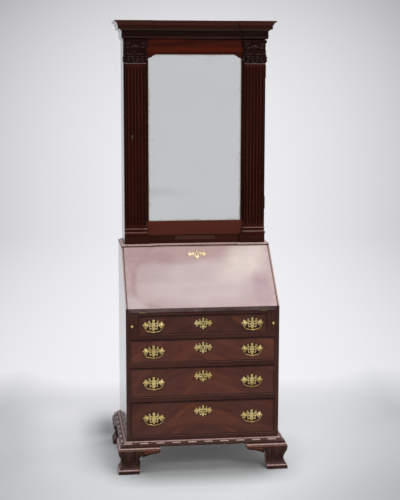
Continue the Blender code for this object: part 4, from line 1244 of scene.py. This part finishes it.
lobe = {
    # widths are shares of the half width, heights of the rise, and tipFrom of the length
    "foot": 0.30, "swell": 0.95, "swellAlong": (0.10, 0.78, 1.2), "acrossPower": 2.2,
    "backPower": 0.6, "riseAtFoot": 0.5, "riseOnward": 0.6, "groove": 0.42, "grooveWidth": 0.22,
    "grooveAlong": (0.1, 1.0, 0.5), "tipFrom": 0.72, "tipPower": 0.6, "curlPower": 3,
    "grid": (8, 12),  # across and along
    "least": 0.0002, "thickness": 0.0012}  # these two in metres


def makeLobe(name, length, width, rise, curl):
    # one finger of a leaf, flat on Y 0 with its foot at the origin: grooved, its tip turned out
    tip = lobe["tipFrom"]

    def shape(u, v):
        # u runs across from -1 to 1, and v from the foot to the tip
        half = width / 2 * (lobe["foot"] + lobe["swell"] * swelling(v, *lobe["swellAlong"]))
        if v >= tip:
            half *= math.cos((v - tip) / (1 - tip) * math.pi / 2) ** lobe["tipPower"]
        back = (1 - abs(u) ** lobe["acrossPower"]) ** lobe["backPower"]
        groove = lobe["groove"] * math.exp(-(u / lobe["grooveWidth"]) ** 2)
        groove *= swelling(v, *lobe["grooveAlong"])
        out = rise * back * (lobe["riseAtFoot"] + lobe["riseOnward"] * v) * (1 - groove)
        out += curl * v ** lobe["curlPower"]
        return Vector((u * max(half, lobe["least"]), -out, v * length))

    return relief(name, *lobe["grid"], shape, lobe["thickness"])


leafShape = {
    # share of the height where a finger starts, its lean, its share of the length
    "fingers": ((0.00, 62, 0.46), (0.14, 46, 0.52), (0.32, 32, 0.50), (0.50, 18, 0.44),
                (0.56, 0, 0.46)),
    "fingerWidthShare": 0.52, "aheadShare": 0.25,
    # the stalk's line, as shares of the rise and of the height, and how thick it is there
    "stalk": ((0.7, 0.1), (0.9, 0.4), (1.0, 0.66)), "stalkBack": 0.0004,
    "stalkWidthShare": 0.045, "stalkSwells": (1.3, 1.2, 0.9, 0.4), "stalkResolution": 3}


def makeLeaf(name, width, height, rise, curl):
    # a leaf of nine fingers along a stalk, standing on Z 0 and facing -Y
    parts = []
    for start, lean, length in leafShape["fingers"]:
        long = height * length
        finger = makeLobe("finger", long, long * leafShape["fingerWidthShare"], rise, curl)
        for turn in ((-1, 1) if lean else (1,)):
            parts.append(copyPiece(finger, "finger", Matrix.Translation(
                (0, -rise * leafShape["aheadShare"] * start, height * start))
                @ Matrix.Rotation(math.radians(lean) * turn, 4, "Y")))
        removePieces(finger)
    line = [(0, leafShape["stalkBack"], 0)]
    line += [(0, -rise * ahead, height * up) for ahead, up in leafShape["stalk"]]
    parts.append(bentRod("stalk", line, width * leafShape["stalkWidthShare"],
                         leafShape["stalkSwells"], leafShape["stalkResolution"]))
    leaf = joinPieces(parts, name)
    wide = max(abs(vertex.co.x) for vertex in leaf.data.vertices)
    leaf.data.transform(Matrix.Scale(width / 2 / wide, 4, (1, 0, 0)))
    return leaf


scroll = {
    "turns": 2.4, "knots": 30, "thick": 0.0019, "inwardShare": 0.86, "ahead": 0.0015,
    "swell": 1.25, "thinning": 0.7, "resolution": 2, "eyeAhead": 0.0004, "eyeCorners": 12,
    "eyeStartShare": 0.26,
    "eye": ((0.0012, 0.25), (0.0022, 0.16), (0.0026, 0.0))}  # how far on, share of the radius


def makeVolute(name, radius):
    # a scroll that winds inwards and thins, with a round eye
    points, swells = [], []
    for index in range(scroll["knots"] + 1):
        share = index / scroll["knots"]
        angle = share * scroll["turns"] * 2 * math.pi
        reach = radius * (1 - scroll["inwardShare"] * share)
        points.append((-math.cos(angle) * reach, -scroll["ahead"] * share,
                       math.sin(angle) * reach))
        swells.append(scroll["swell"] - scroll["thinning"] * share)
    rod = bentRod("scroll", points, scroll["thick"], swells, scroll["resolution"])
    eye = turned("eye", radius * scroll["eyeStartShare"],
                 [(ahead, radius * share) for ahead, share in scroll["eye"]],
                 scroll["eyeCorners"])
    eye.data.transform(Matrix.Translation((0, -scroll["eyeAhead"], 0)))
    return joinPieces([rod, eye], name)


flowerShape = {
    "petalGrid": (6, 8), "petalWidthShare": 0.34, "petalAlong": (0.12, 0.95, 0.6),
    "thickness": 0.0008, "flat": 0.0009, "bulge": 0.0022, "bulgeAlong": (0.0, 1.0, 0.5),
    "crease": 0.0008, "creaseWidth": 0.2, "heartStartShare": 0.30, "heartCorners": 12,
    "heart": ((0.0022, 0.30), (0.0034, 0.2), (0.0038, 0.0))}  # how far on, share of the radius


def makeFlower(name, radius, petals):
    # a flat round flower facing -Y, each petal creased along its middle
    values = flowerShape

    def shape(u, v):
        half = radius * values["petalWidthShare"] * swelling(v, *values["petalAlong"])
        ahead = values["flat"]
        ahead += values["bulge"] * (1 - u * u) * swelling(v, *values["bulgeAlong"])
        ahead -= values["crease"] * math.exp(-(u / values["creaseWidth"]) ** 2)
        return Vector((u * half, -ahead, v * radius))

    petal = relief("petal", *values["petalGrid"], shape, values["thickness"])
    parts = [copyPiece(petal, "petal", Matrix.Rotation(2 * math.pi * turn / petals, 4, "Y"))
             for turn in range(petals)]
    removePieces(petal)
    parts.append(turned("heart", radius * values["heartStartShare"],
                        [(ahead, radius * share) for ahead, share in values["heart"]],
                        values["heartCorners"]))
    return joinPieces(parts, name)


capital = {
    "height": 0.111, "projection": 0.011,
    "leaves": (  # across, foot, whether it is one of the tall ones behind, and how far forward
        (-0.0440, 0.006, True, 0.0014), (0.0000, 0.006, True, 0.0018),
        (0.0440, 0.006, True, 0.0014),
        (-0.0220, 0.004, False, 0.0034), (0.0220, 0.004, False, 0.0034)),
    "tall": (0.034, 0.054, 0.0028, 0.0046),  # width, height, rise, curl of the tip
    "short": (0.040, 0.030, 0.0030, 0.0046),
    "volute": (0.0350, 0.0840, 0.0160), "voluteAhead": 0.0066,  # across, up, radius
    "flowers": ((0.0, 0.0780, 0.0130, 8), (0.0, 0.1000, 0.0080, 6)),  # and how many petals
    "flowerAhead": 0.0046, "beadAhead": 0.0035, "beadHalf": 0.0500, "beadResolution": 2,
    "beads": ((-0.0008, 0.0018), (0.1042, 0.0013), (0.1082, 0.0013)),  # up, radius
    "beadLine": ((-1, 0.8), (-0.5, 1), (0, 1), (0.5, 1), (1, 0.8)),  # share across, swell
    "returnIn": 0.0085, "returnBack": 0.001, "returnUp": 0.006, "returnWidthShare": 0.5}


def makeCapitals():
    aside, voluteUp, radius = capital["volute"]
    volute = makeVolute("volute", radius)
    flowers = [(makeFlower("flower", radius, petals), across, up)
               for across, up, radius, petals in capital["flowers"]]
    tall = makeLeaf("tall", *capital["tall"])
    short = makeLeaf("short", *capital["short"])
    for side, sign in sides:
        low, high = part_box(f"pilaster_{side}")
        middle = (low.x + high.x) / 2
        foot = high.z - capital["height"]
        face = low.y + capital["projection"]
        parts = []
        for across, up, behind, ahead in capital["leaves"]:
            parts.append(placed(tall if behind else short, "leaf",
                                (middle + across, face - ahead, foot + up)))
        for turn in (-1, 1):
            parts.append(copyPiece(volute, "volute", Matrix.Translation(
                (middle + turn * aside, face - capital["voluteAhead"], foot + voluteUp))
                @ Matrix.Scale(-turn, 4, (1, 0, 0))))
        for flower, across, up in flowers:
            parts.append(placed(flower, "flower", (
                middle + across, face - capital["flowerAhead"], foot + up)))
        # a bead under the leaves and two at the top
        for up, radius in capital["beads"]:
            line = [(middle + share * capital["beadHalf"], face - capital["beadAhead"], foot + up)
                    for share, _ in capital["beadLine"]]
            swells = [swell for _, swell in capital["beadLine"]]
            parts.append(bentRod("neckBead", line, radius, swells, capital["beadResolution"]))
        # one narrow leaf on the outer return
        edge = high.x if sign > 0 else low.x
        place = Matrix.Translation((edge - sign * capital["returnIn"],
                                    (face + high.y) / 2 - capital["returnBack"],
                                    foot + capital["returnUp"]))
        parts.append(copyPiece(
            tall, "leaf", place @ Matrix.Rotation(sign * math.pi / 2, 4, "Z")
            @ Matrix.Scale(capital["returnWidthShare"], 4, (1, 0, 0))))
        finishPiece(joinPieces(parts, f"capitalCarving_{side}"), woods["carvedUpper"],
                    "door")
    removePieces(volute, tall, short, *(flower for flower, _, _ in flowers))


bandShape = {
    # the bar's line: share of its half length, how far ahead, and its swell there
    "bar": ((-1, 0, 0.35), (-0.9, 0.0004, 0.9), (0, 0.0007, 1.1), (0.9, 0.0004, 0.9),
            (1, 0, 0.35)),
    # shares of the repeat where bar and flower lie, and how far the flower is pressed flat
    "barAt": -0.19, "flowerAt": 0.31, "flatten": 0.8, "petals": 4, "barResolution": 3}
ribbon = dict(
    bandShape, unit=0.0735, half=0.0215, thick=0.0033, flower=0.0088, inset=0.0105, up=0.0136,
    endGap=0.006, tilt=math.radians(-38))
waistRibbon = dict(
    bandShape, unit=0.0330, half=0.0095, thick=0.0014, flower=0.0042, height=1.0378,
    faceFrom=1.034, faceTo=1.039, sameFace=0.0005, nextFace=0.002, endGap=0.004)


def makeDash(values):
    # the round bar of one repeat of the carved band
    line = [(values["half"] * share, -ahead, 0) for share, ahead, _ in values["bar"]]
    bar = bentRod("bar", line, values["thick"], [swell for _, _, swell in values["bar"]],
                  values["barResolution"])
    bar.data.transform(Matrix.Translation((values["unit"] * values["barAt"], 0, 0)))
    return bar


def makeBandFlower(values):
    # the flower between two bars, its petals set crosswise
    flower = makeFlower("flower", values["flower"], values["petals"])
    flower.data.transform(Matrix.Translation((values["unit"] * values["flowerAt"], 0, 0))
                          @ Matrix.Rotation(math.pi / 4, 4, "Y")
                          @ Matrix.Scale(values["flatten"], 4, (0, 1, 0)))
    return flower


def repeatAlong(unit, name, lines, material, body):
    # copies of the unit along straight lines: start, end, how far apart, outward direction
    parts = []
    for start, end, step, outward in lines:
        start, end = Vector(start), Vector(end)
        count = max(1, round((end - start).length / step))
        turn = Matrix.Rotation(math.atan2(outward[0], -outward[1]), 4, "Z")
        for index in range(count):
            place = start.lerp(end, (index + 0.5) / count)
            parts.append(copyPiece(unit, "unit", Matrix.Translation(place) @ turn))
    removePieces(unit)
    finishPiece(joinPieces(parts, name), material, body)


def makeBands():
    # on the base moulding: front and both sides
    low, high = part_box("base_moulding")
    z, unit = low.z + ribbon["up"], ribbon["unit"]
    left, right = low.x + ribbon["inset"], high.x - ribbon["inset"]
    near, end = low.y + ribbon["inset"], high.y - ribbon["endGap"]
    lines = (((left, near, z), (right, near, z), unit, (0, -1)),
             ((left, end, z), (left, near, z), unit, (-1, 0)),
             ((right, near, z), (right, end, z), unit, (1, 0)))
    for piece, name, material in ((makeDash(ribbon), "baseDashes", woods["dash"]),
                                  (makeBandFlower(ribbon), "baseFlowers", woods["carvedDesk"])):
        piece.data.transform(Matrix.Rotation(ribbon["tilt"], 4, "X"))
        repeatAlong(piece, name, lines, material, "case")
    # on the waist moulding, which breaks forward under the two pilasters
    face = [vertex.co for vertex in nodes["desk_top"].data.vertices
            if waistRibbon["faceFrom"] < vertex.co.z < waistRibbon["faceTo"]]
    _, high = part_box("desk_top")
    z, unit = waistRibbon["height"], waistRibbon["unit"]
    front = min(v.y for v in face)
    step = min(abs(v.x) for v in face if v.y < front + waistRibbon["sameFace"])
    middleY = min(v.y for v in face if v.y > front + waistRibbon["nextFace"])
    width, end = high.x, high.y - waistRibbon["endGap"]
    lines = (((-width, front, z), (-step, front, z), unit, (0, -1)),
             ((step, front, z), (width, front, z), unit, (0, -1)),
             ((-step, middleY, z), (step, middleY, z), unit, (0, -1)),
             ((-width, end, z), (-width, front, z), unit, (-1, 0)),
             ((width, front, z), (width, end, z), unit, (1, 0)))
    for piece, name in ((makeDash(waistRibbon), "waistDashes"),
                        (makeBandFlower(waistRibbon), "waistFlowers")):
        repeatAlong(piece, name, lines, woods["dash"], "case")


footCarving = {
    "voxel": 0.0012, "depth": 0.0036, "legWidth": 0.0975,
    "lengths": {"front": 0.198, "side": 0.185}, "lobes": 11, "padLow": 0.0060, "padHigh": 0.0265,
    "facing": (0.30, 0.65), "rimEnd": 0.004, "rimTop": 0.003, "wingGap": 0.026,
    "leafShare": 0.96, "leafGroove": 0.45, "scrollGroove": 0.3, "grooveWidthShare": 0.26,
    "lobePower": 0.5, "padPower": 0.35, "fineAngle": 55,
    "beads": ((0.1215, 0.0032), (0.1135, 0.0018)),
    # one half of the leaf on the knee, by distance from its stalk and height
    "leaf": (
        (((0.000, 0.108), (0.010, 0.106), (0.020, 0.098), (0.027, 0.087)), 0.0052, 0.0018),
        (((0.000, 0.098), (0.010, 0.095), (0.021, 0.084), (0.028, 0.072)), 0.0050, 0.0016),
        (((0.000, 0.087), (0.009, 0.083), (0.018, 0.071), (0.024, 0.058)), 0.0046, 0.0015),
        (((0.000, 0.075), (0.007, 0.070), (0.014, 0.058), (0.019, 0.045)), 0.0042, 0.0014),
        (((0.000, 0.062), (0.005, 0.056), (0.009, 0.046), (0.012, 0.036)), 0.0038, 0.0013),
        (((0.000, 0.110), (0.000, 0.075), (0.000, 0.032)), 0.0036, 0.0022)),
    # scrolls by distance from the corner of the foot: line, width at its start and its end
    "scrolls": (
        (((0.006, 0.108), (0.013, 0.098), (0.015, 0.084), (0.011, 0.070), (0.010, 0.056),
          (0.013, 0.044), (0.019, 0.037), (0.025, 0.040), (0.023, 0.046)), 0.0034, 0.0018),
        (((0.092, 0.106), (0.086, 0.096), (0.084, 0.084), (0.087, 0.070), (0.087, 0.056),
          (0.083, 0.044), (0.077, 0.037), (0.071, 0.040), (0.073, 0.046)), 0.0034, 0.0018),
        (((0.124, 0.100), (0.132, 0.1030), (0.150, 0.1045), (0.170, 0.1065),
          (0.184, 0.1095), (0.189, 0.1145), (0.184, 0.1175), (0.179, 0.1150)), 0.0042, 0.0020),
        (((0.1010, 0.1105), (0.1010, 0.0900)), 0.0024, 0.0020),
        (((0.1080, 0.1105), (0.1080, 0.0900)), 0.0024, 0.0020),
        (((0.1150, 0.1105), (0.1150, 0.0860)), 0.0024, 0.0020),
        (((0.124, 0.102), (0.132, 0.0975), (0.140, 0.0950)), 0.0030, 0.0012),
        (((0.142, 0.104), (0.150, 0.1100), (0.158, 0.1120)), 0.0026, 0.0012),
        (((0.120, 0.103), (0.126, 0.1095), (0.134, 0.1125)), 0.0026, 0.0012))}


def ridgeHeight(places, line, startWidth, endWidth, groove):
    # how high a rounded ridge along the line stands at each place, 0 to 1
    knots = np.array(line, float)
    steps = np.linalg.norm(np.diff(knots, axis=0), axis=1)
    along = np.concatenate([[0.0], np.cumsum(steps)]) / steps.sum()
    best = np.full(len(places), np.inf)
    share = np.zeros(len(places))
    for index in range(len(knots) - 1):
        a, b = knots[index], knots[index + 1]
        t = np.clip(((places - a) @ (b - a)) / ((b - a) @ (b - a)), 0, 1)
        gap = np.linalg.norm(places - (a + t[:, None] * (b - a)), axis=1)
        nearer = gap < best
        best[nearer] = gap[nearer]
        share[nearer] = (along[index] + t * (along[index + 1] - along[index]))[nearer]
    wide = startWidth + (endWidth - startWidth) * share
    ridge = np.sqrt(np.clip(1 - (best / wide) ** 2, 0, 1))
    return ridge * (1 - groove * np.exp(-(best / (footCarving["grooveWidthShare"] * wide)) ** 2))


def footHeights(far, z, length):
    # the height of the carving, by distance from the corner of the foot and height
    values = footCarving
    places = np.stack([far, z], axis=1)
    half = values["legWidth"] / 2
    folded = np.stack([np.abs(far - half), z], axis=1)
    height = np.zeros(len(far))
    for line, startWidth, endWidth in values["leaf"]:
        ridge = ridgeHeight(folded, line, startWidth, endWidth, values["leafGroove"])
        height = np.maximum(height, values["leafShare"] * ridge)
    stretch = (length - values["legWidth"]) / (values["lengths"]["front"] - values["legWidth"])
    for line, startWidth, endWidth in values["scrolls"]:
        line = [(a if a < values["legWidth"] else
                 values["legWidth"] + (a - values["legWidth"]) * stretch, b) for a, b in line]
        height = np.maximum(height, ridgeHeight(places, line, startWidth, endWidth,
                                                values["scrollGroove"]))
    for middle, reach in values["beads"]:
        height = np.maximum(height, np.sqrt(np.clip(1 - ((z - middle) / reach) ** 2, 0, 1)))
    pad = (z > values["padLow"]) & (z < values["padHigh"])
    lobes = np.abs(np.sin(math.pi * values["lobes"] * far / values["legWidth"]))
    across = np.clip((z - values["padLow"]) / (values["padHigh"] - values["padLow"]), 0, 1)
    lobes = lobes ** values["lobePower"] * np.sin(math.pi * across) ** values["padPower"]
    height = np.where(pad, np.maximum(height, lobes), height)
    return np.where(z < values["padLow"], 1.0, height)


def makeFeet():
    # each foot is a copy of its CAD node in fine faces, with the ground round the carving sunk
    values = footCarving
    for place in ("front", "back"):
        for side, sign in sides:
            name = f"foot_{place}_{side}"
            low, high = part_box(name)
            piece = newObject("foot", nodes[name].data.copy())
            mendMesh(piece, merge=True)
            applyModifier(piece, "REMESH", mode="VOXEL", voxel_size=values["voxel"])
            count = len(piece.data.vertices)
            points = np.zeros(count * 3)
            normals = np.zeros(count * 3)
            piece.data.vertices.foreach_get("co", points)
            piece.data.vertices.foreach_get("normal", normals)
            points, normals = points.reshape(-1, 3), normals.reshape(-1, 3)
            cornerX = high.x if sign > 0 else low.x
            cornerY = low.y if place == "front" else high.y
            faces = [("side", np.array([sign, 0, 0]), np.abs(points[:, 1] - cornerY))]
            if place == "front":
                faces.append(("front", np.array([0, -1, 0]), np.abs(points[:, 0] - cornerX)))
            moved = points.copy()
            carved, wing = np.ones(count), np.zeros(count)
            for face, outward, far in faces:
                start, full = values["facing"]
                facing = np.clip((normals @ outward - start) / (full - start), 0, 1)
                sunk = 1 - footHeights(far, points[:, 2], values["lengths"][face])
                rim = np.clip((values["lengths"][face] - far) / values["rimEnd"], 0, 1) * np.clip(
                    (high.z - points[:, 2]) / values["rimTop"], 0, 1)
                moved -= np.outer(values["depth"] * sunk * facing * rim, outward)
                carved = np.minimum(carved, 1 - sunk * facing * rim)
                wing = np.maximum(wing, facing * (far > values["legWidth"] + values["wingGap"]))
            moved = np.clip(moved, list(low), list(high))
            piece.data.vertices.foreach_set("co", moved.ravel())
            for label, amounts in (("carved", carved), ("wing", wing)):
                attribute = piece.data.attributes.new(label, "FLOAT", "POINT")
                attribute.data.foreach_set("value", amounts)
            piece.data.update()
            smoothByAngle(piece, values["fineAngle"])
            settle(piece, f"carvedFoot_{place}_{side}")
            finishPiece(piece, woods["foot" if place == "front" else "shadedBackFoot"],
                        "case")
            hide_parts(name)


valance = {
    "high": 1.0104, "depth": 0.024, "thick": 0.004, "front": 0.0667, "round": 0.0005,
    "openings": ((-0.3382, -0.2467), (-0.2407, -0.1492), (-0.1432, -0.0517), (-0.0457, 0.0457),
                 (0.0517, 0.1432), (0.1492, 0.2407), (0.2467, 0.3382)),
    # the lower edge, from the middle out: share of the half width, share of the depth
    "edge": ((0.00, 0.62), (0.10, 0.36), (0.26, 0.24), (0.44, 0.24), (0.60, 0.42), (0.68, 0.64),
             (0.78, 0.66), (0.86, 0.78), (0.98, 0.96))}


def makeValances():
    # a shaped board across the top of each pigeonhole
    parts = []
    for left, right in valance["openings"]:
        half, middle = (right - left) / 2, (left + right) / 2
        rim = [(share * half, -drop * valance["depth"]) for share, drop in valance["edge"]]
        outline = ([(-half, 0), (half, 0)] + rim[::-1] + [(-a, b) for a, b in rim[1:]])
        deselectAll()
        bpy.ops.mesh.primitive_circle_add(vertices=len(outline), radius=1, fill_type="NGON")
        board = bpy.context.object
        for vertex, (across, down) in zip(board.data.vertices, outline):
            vertex.co = (middle + across, valance["front"], valance["high"] + down)
        settle(board, "board")
        mendMesh(board)
        applyModifier(board, "SOLIDIFY", thickness=valance["thick"], offset=0.0)
        applyModifier(board, "BEVEL", width=valance["round"], segments=2, limit_method="ANGLE")
        parts.append(board)
    finishPiece(smoothByAngle(joinPieces(parts, "pigeonholeValances"), cutAngle),
                woods["desk"], "case")


makeCapitals()
makeBands()
makeFeet()
makeValances()
print("carving made")


# Room, light and camera

room = {
    "floor": 9.0, "bend": 2.0, "top": 10.0, "steps": 10, "corners": 96, "smoothAngle": 60,
    "roughness": 0.95, "specular": 0.1, "tooth": (300, 3), "bump": 0.03, "bumpDepth": 0.0005,
    # the glow of the far paper; a reach is from, to and softness
    "bright": tone(243, 243, 245), "far": tone(238, 238, 241), "farRange": (3.0, 8.0),
    "dim": tone(172, 172, 176), "dimRange": (0.0, 2.0), "tall": 2.95, "lean": 0.13,
    "wide": 0.98, "widening": 0.165, "outMost": 1.15, "outFar": (2.0, 8.0, 0.4, 1.0),
    "outAcross": (1.1, 4.0, 1.0, 0.35),
    # the lit floor: paler round the piece as a painted pool of light, painted shadow before and
    # behind the piece, painted shade to its sides
    "paper": tone(248, 251, 252), "paperFar": tone(206, 209, 211), "paperRange": (0.6, 1.4),
    "frontShadow": tone(192, 195, 195), "frontShadowReach": ((-0.37, 0.37, 0.12), (-0.40, -0.21, 0.09)),
    "backShadow": tone(161, 163, 164), "backShadowReach": ((-0.50, 0.38, 0.08), (0.26, 0.70, 0.14)),
    "shade": tone(176, 179, 181), "slant": 0.5, "rightReach": (1.0, 2.3, 0.5),
    "rightRange": (-0.5, 1.2, 1.0, 0.2), "leftRange": (-0.95, -0.62, 0.25, 0.0),
    "leftBackRange": (0.0, 0.6, 1.0, 0.0), "through": (5.0, 5.5), "mirrored": (-1, 1),
    # where the floor glows: far behind, and a little under the piece and to the left of it,
    # painted light that lifts its shadow
    "glowRange": (0.8, 2.5), "behind": 0.85, "behindFrom": 0.2, "beside": 0.8,
    "besideRange": (0.55, 1.1), "under": 0.035,
    "underReach": ((-0.35, 0.35, 0.05), (-0.14, 0.6, 0.07)), "left": 0.28,
    "leftReach": ((-0.80, -0.52, 0.08), (-0.25, 0.85, 0.15))}


def mixShader(factor, first, second):
    made = addNode(factor.id_data, "MixShader")
    for socket, value in zip(made.inputs, (factor, first, second)):
        link(value, socket)
    return made.outputs[0]


def patch(x, y, reach):
    return times(between(x, *reach[0]), between(y, *reach[1]))


def makePaper(values):
    # lit by the lamps near the piece, and glowing where it lies farther off
    material, shader, where = newMaterial("palePaper")
    tree = shader.id_data
    x, y, z = splitPlace(where)
    flat = calculate("SQRT", plus(times(x, x), times(y, y)))
    # the glow is less high up and out to the sides
    up = calculate("POWER", over(z, values["tall"]), 3)
    leaning = minus(x, times(y, values["lean"]))
    across = over(leaning, plus(times(unsigned(y), values["widening"]), values["wide"]))
    outwards = times(calculate("MINIMUM", times(across, across), values["outMost"]),
                     spread(flat, *values["outFar"]),
                     spread(unsigned(across), *values["outAcross"]))
    colour = mixColour(spread(flat, *values["farRange"]), values["bright"], values["far"])
    colour = mixColour(spread(plus(up, outwards), *values["dimRange"]), colour, values["dim"])
    # paler paper round the piece: a painted pool of light
    paper = mixColour(spread(flat, *values["paperRange"]), values["paper"], values["paperFar"])
    # painted shadow before and behind the piece, painted shade to its sides
    paper = mixColour(patch(x, y, values["frontShadowReach"]), paper, values["frontShadow"])
    paper = mixColour(patch(x, y, values["backShadowReach"]), paper, values["backShadow"])
    right = times(between(minus(x, times(y, values["slant"])), *values["rightReach"]),
                  spread(y, *values["rightRange"]))
    left = times(spread(x, *values["leftRange"]), spread(y, *values["leftBackRange"]))
    for side in (right, left):
        paper = mixColour(side, paper, values["shade"])
    link(paper, shader.inputs["Base Color"])
    shader.inputs["Roughness"].default_value = values["roughness"]
    shader.inputs["Specular IOR Level"].default_value = values["specular"]
    addBump(shader, noise(where, *values["tooth"]), values["bump"], values["bumpDepth"])
    glow = addNode(tree, "Emission", {"Strength": 1.0})
    link(colour, glow.inputs["Color"])
    path = addNode(tree, "LightPath").outputs
    seen = calculate("MAXIMUM", path["Is Camera Ray"],
                     times(path["Is Glossy Ray"], spread(y, *values["mirrored"])))
    beside = calculate("POWER", spread(unsigned(leaning), *values["besideRange"]), 2)
    back = minus(minus(plus(flat, times(y, values["behind"])), values["behindFrom"]),
                 times(beside, values["beside"]))
    # painted light that lifts the shadow under the piece and to its left
    lifted = plus(times(patch(x, y, values["underReach"]), values["under"]),
                  times(patch(x, y, values["leftReach"]), values["left"]))
    glowing = times(plus(spread(back, *values["glowRange"]), lifted), seen)
    # far out the paper lets the light of the room through
    clear = addNode(tree, "BsdfTransparent")
    solid = mixShader(spread(flat, *values["through"]), shader.outputs[0], clear.outputs[0])
    link(mixShader(glowing, solid, glow.outputs[0]),
         tree.nodes["Material Output"].inputs["Surface"])
    return material


def makeRoom(values):
    # a round floor that curves up into a wall, out beyond where any view is taken from
    deselectAll()
    bpy.ops.mesh.primitive_circle_add(vertices=values["corners"], radius=values["floor"],
                                      fill_type="NGON")
    floor = settle(bpy.context.object, "paperFloor")
    bpy.ops.object.mode_set(mode="EDIT")
    bpy.ops.mesh.select_mode(type="EDGE")
    bpy.ops.mesh.select_all(action="SELECT")
    bpy.ops.mesh.region_to_loop()
    reach = values["floor"]
    for index in range(1, values["steps"] + 1):
        before, after = (math.pi / 2 * (index - less) / values["steps"] for less in (1, 0))
        wider = values["floor"] + values["bend"] * math.sin(after)
        bpy.ops.mesh.extrude_region_move(TRANSFORM_OT_translate={"value": (
            0, 0, values["bend"] * (math.cos(before) - math.cos(after)))})
        bpy.ops.transform.resize(value=(wider / reach, wider / reach, 1),
                                 center_override=(0, 0, 0))
        reach = wider
    bpy.ops.mesh.extrude_region_move(
        TRANSFORM_OT_translate={"value": (0, 0, values["top"] - values["bend"])})
    bpy.ops.mesh.select_all(action="SELECT")
    bpy.ops.mesh.normals_make_consistent(inside=True)
    bpy.ops.object.mode_set(mode="OBJECT")
    smoothByAngle(floor, values["smoothAngle"])
    floor.data.materials.append(makePaper(values))


lamps = {  # place, what it points at, width and height, how bright its face is
    "topBox": ((0.82, 0.05, 4.3), (0.74, 0.05, 0.0), (3.0, 2.6), 2.6),
    "frontBox": ((1.7, -4.6, 3.9), (0.0, 0.0, 0.9), (1.6, 1.4), 5.6),
    "fillBox": ((-3.4, -4.2, 2.6), (0.0, 0.0, 0.9), (1.8, 2.4), 1.0)}


def makeLamp(name, place, aim, size, radiance):
    data = bpy.data.lights.new(name, "AREA")
    data.shape = "RECTANGLE"
    data.size, data.size_y = size
    data.energy = math.pi * size[0] * size[1] * radiance
    lamp = newObject(name, data)
    lamp.location = place
    lamp.rotation_euler = (Vector(aim) - Vector(place)).to_track_quat("-Z", "Y").to_euler()


ambient = {
    "fill": tone(187, 187, 189), "front": tone(204, 205, 208), "back": tone(240, 240, 242),
    "turn": (-0.4, 0.4)}


def makeWorld(values):
    # an even fill for the piece, and a paler room behind it for the camera and reflections
    world = bpy.data.worlds.new("paleRoom")
    bpy.context.scene.world = world
    world.use_nodes = True
    tree = world.node_tree
    background = tree.nodes["Background"]
    y = splitPlace(addNode(tree, "TexCoord").outputs["Generated"])[1]
    seen = mixColour(spread(y, *values["turn"]), values["front"], values["back"])
    path = addNode(tree, "LightPath").outputs
    direct = calculate("MAXIMUM", path["Is Camera Ray"], calculate(
        "MAXIMUM", path["Is Glossy Ray"], path["Is Transmission Ray"]))
    link(mixColour(direct, values["fill"], seen), background.inputs["Color"])
    background.inputs["Strength"].default_value = 1.0


cameraView = {
    "place": (-0.71, -5.7158, 1.8914), "yaw": 0.1263, "pitch": -0.1502, "roll": 0.0017,
    "lens": 86.55, "sensor": 36.0}


def makeCamera(values):
    data = bpy.data.cameras.new("photoCamera")
    data.lens = values["lens"]
    data.sensor_width = values["sensor"]
    data.sensor_fit = "AUTO"
    camera = newObject("photoCamera", data)
    turn = (Matrix.Rotation(-values["yaw"], 4, "Z")
            @ Matrix.Rotation(math.pi / 2 + values["pitch"], 4, "X")
            @ Matrix.Rotation(values["roll"], 4, "Z"))
    camera.matrix_world = Matrix.Translation(values["place"]) @ turn
    bpy.context.scene.camera = camera


makeRoom(room)
for name, (place, aim, size, radiance) in lamps.items():
    makeLamp(name, place, aim, size, radiance)
makeWorld(ambient)
makeCamera(cameraView)
bpy.context.scene.view_settings.view_transform = "Standard"
print("room, light and camera set")
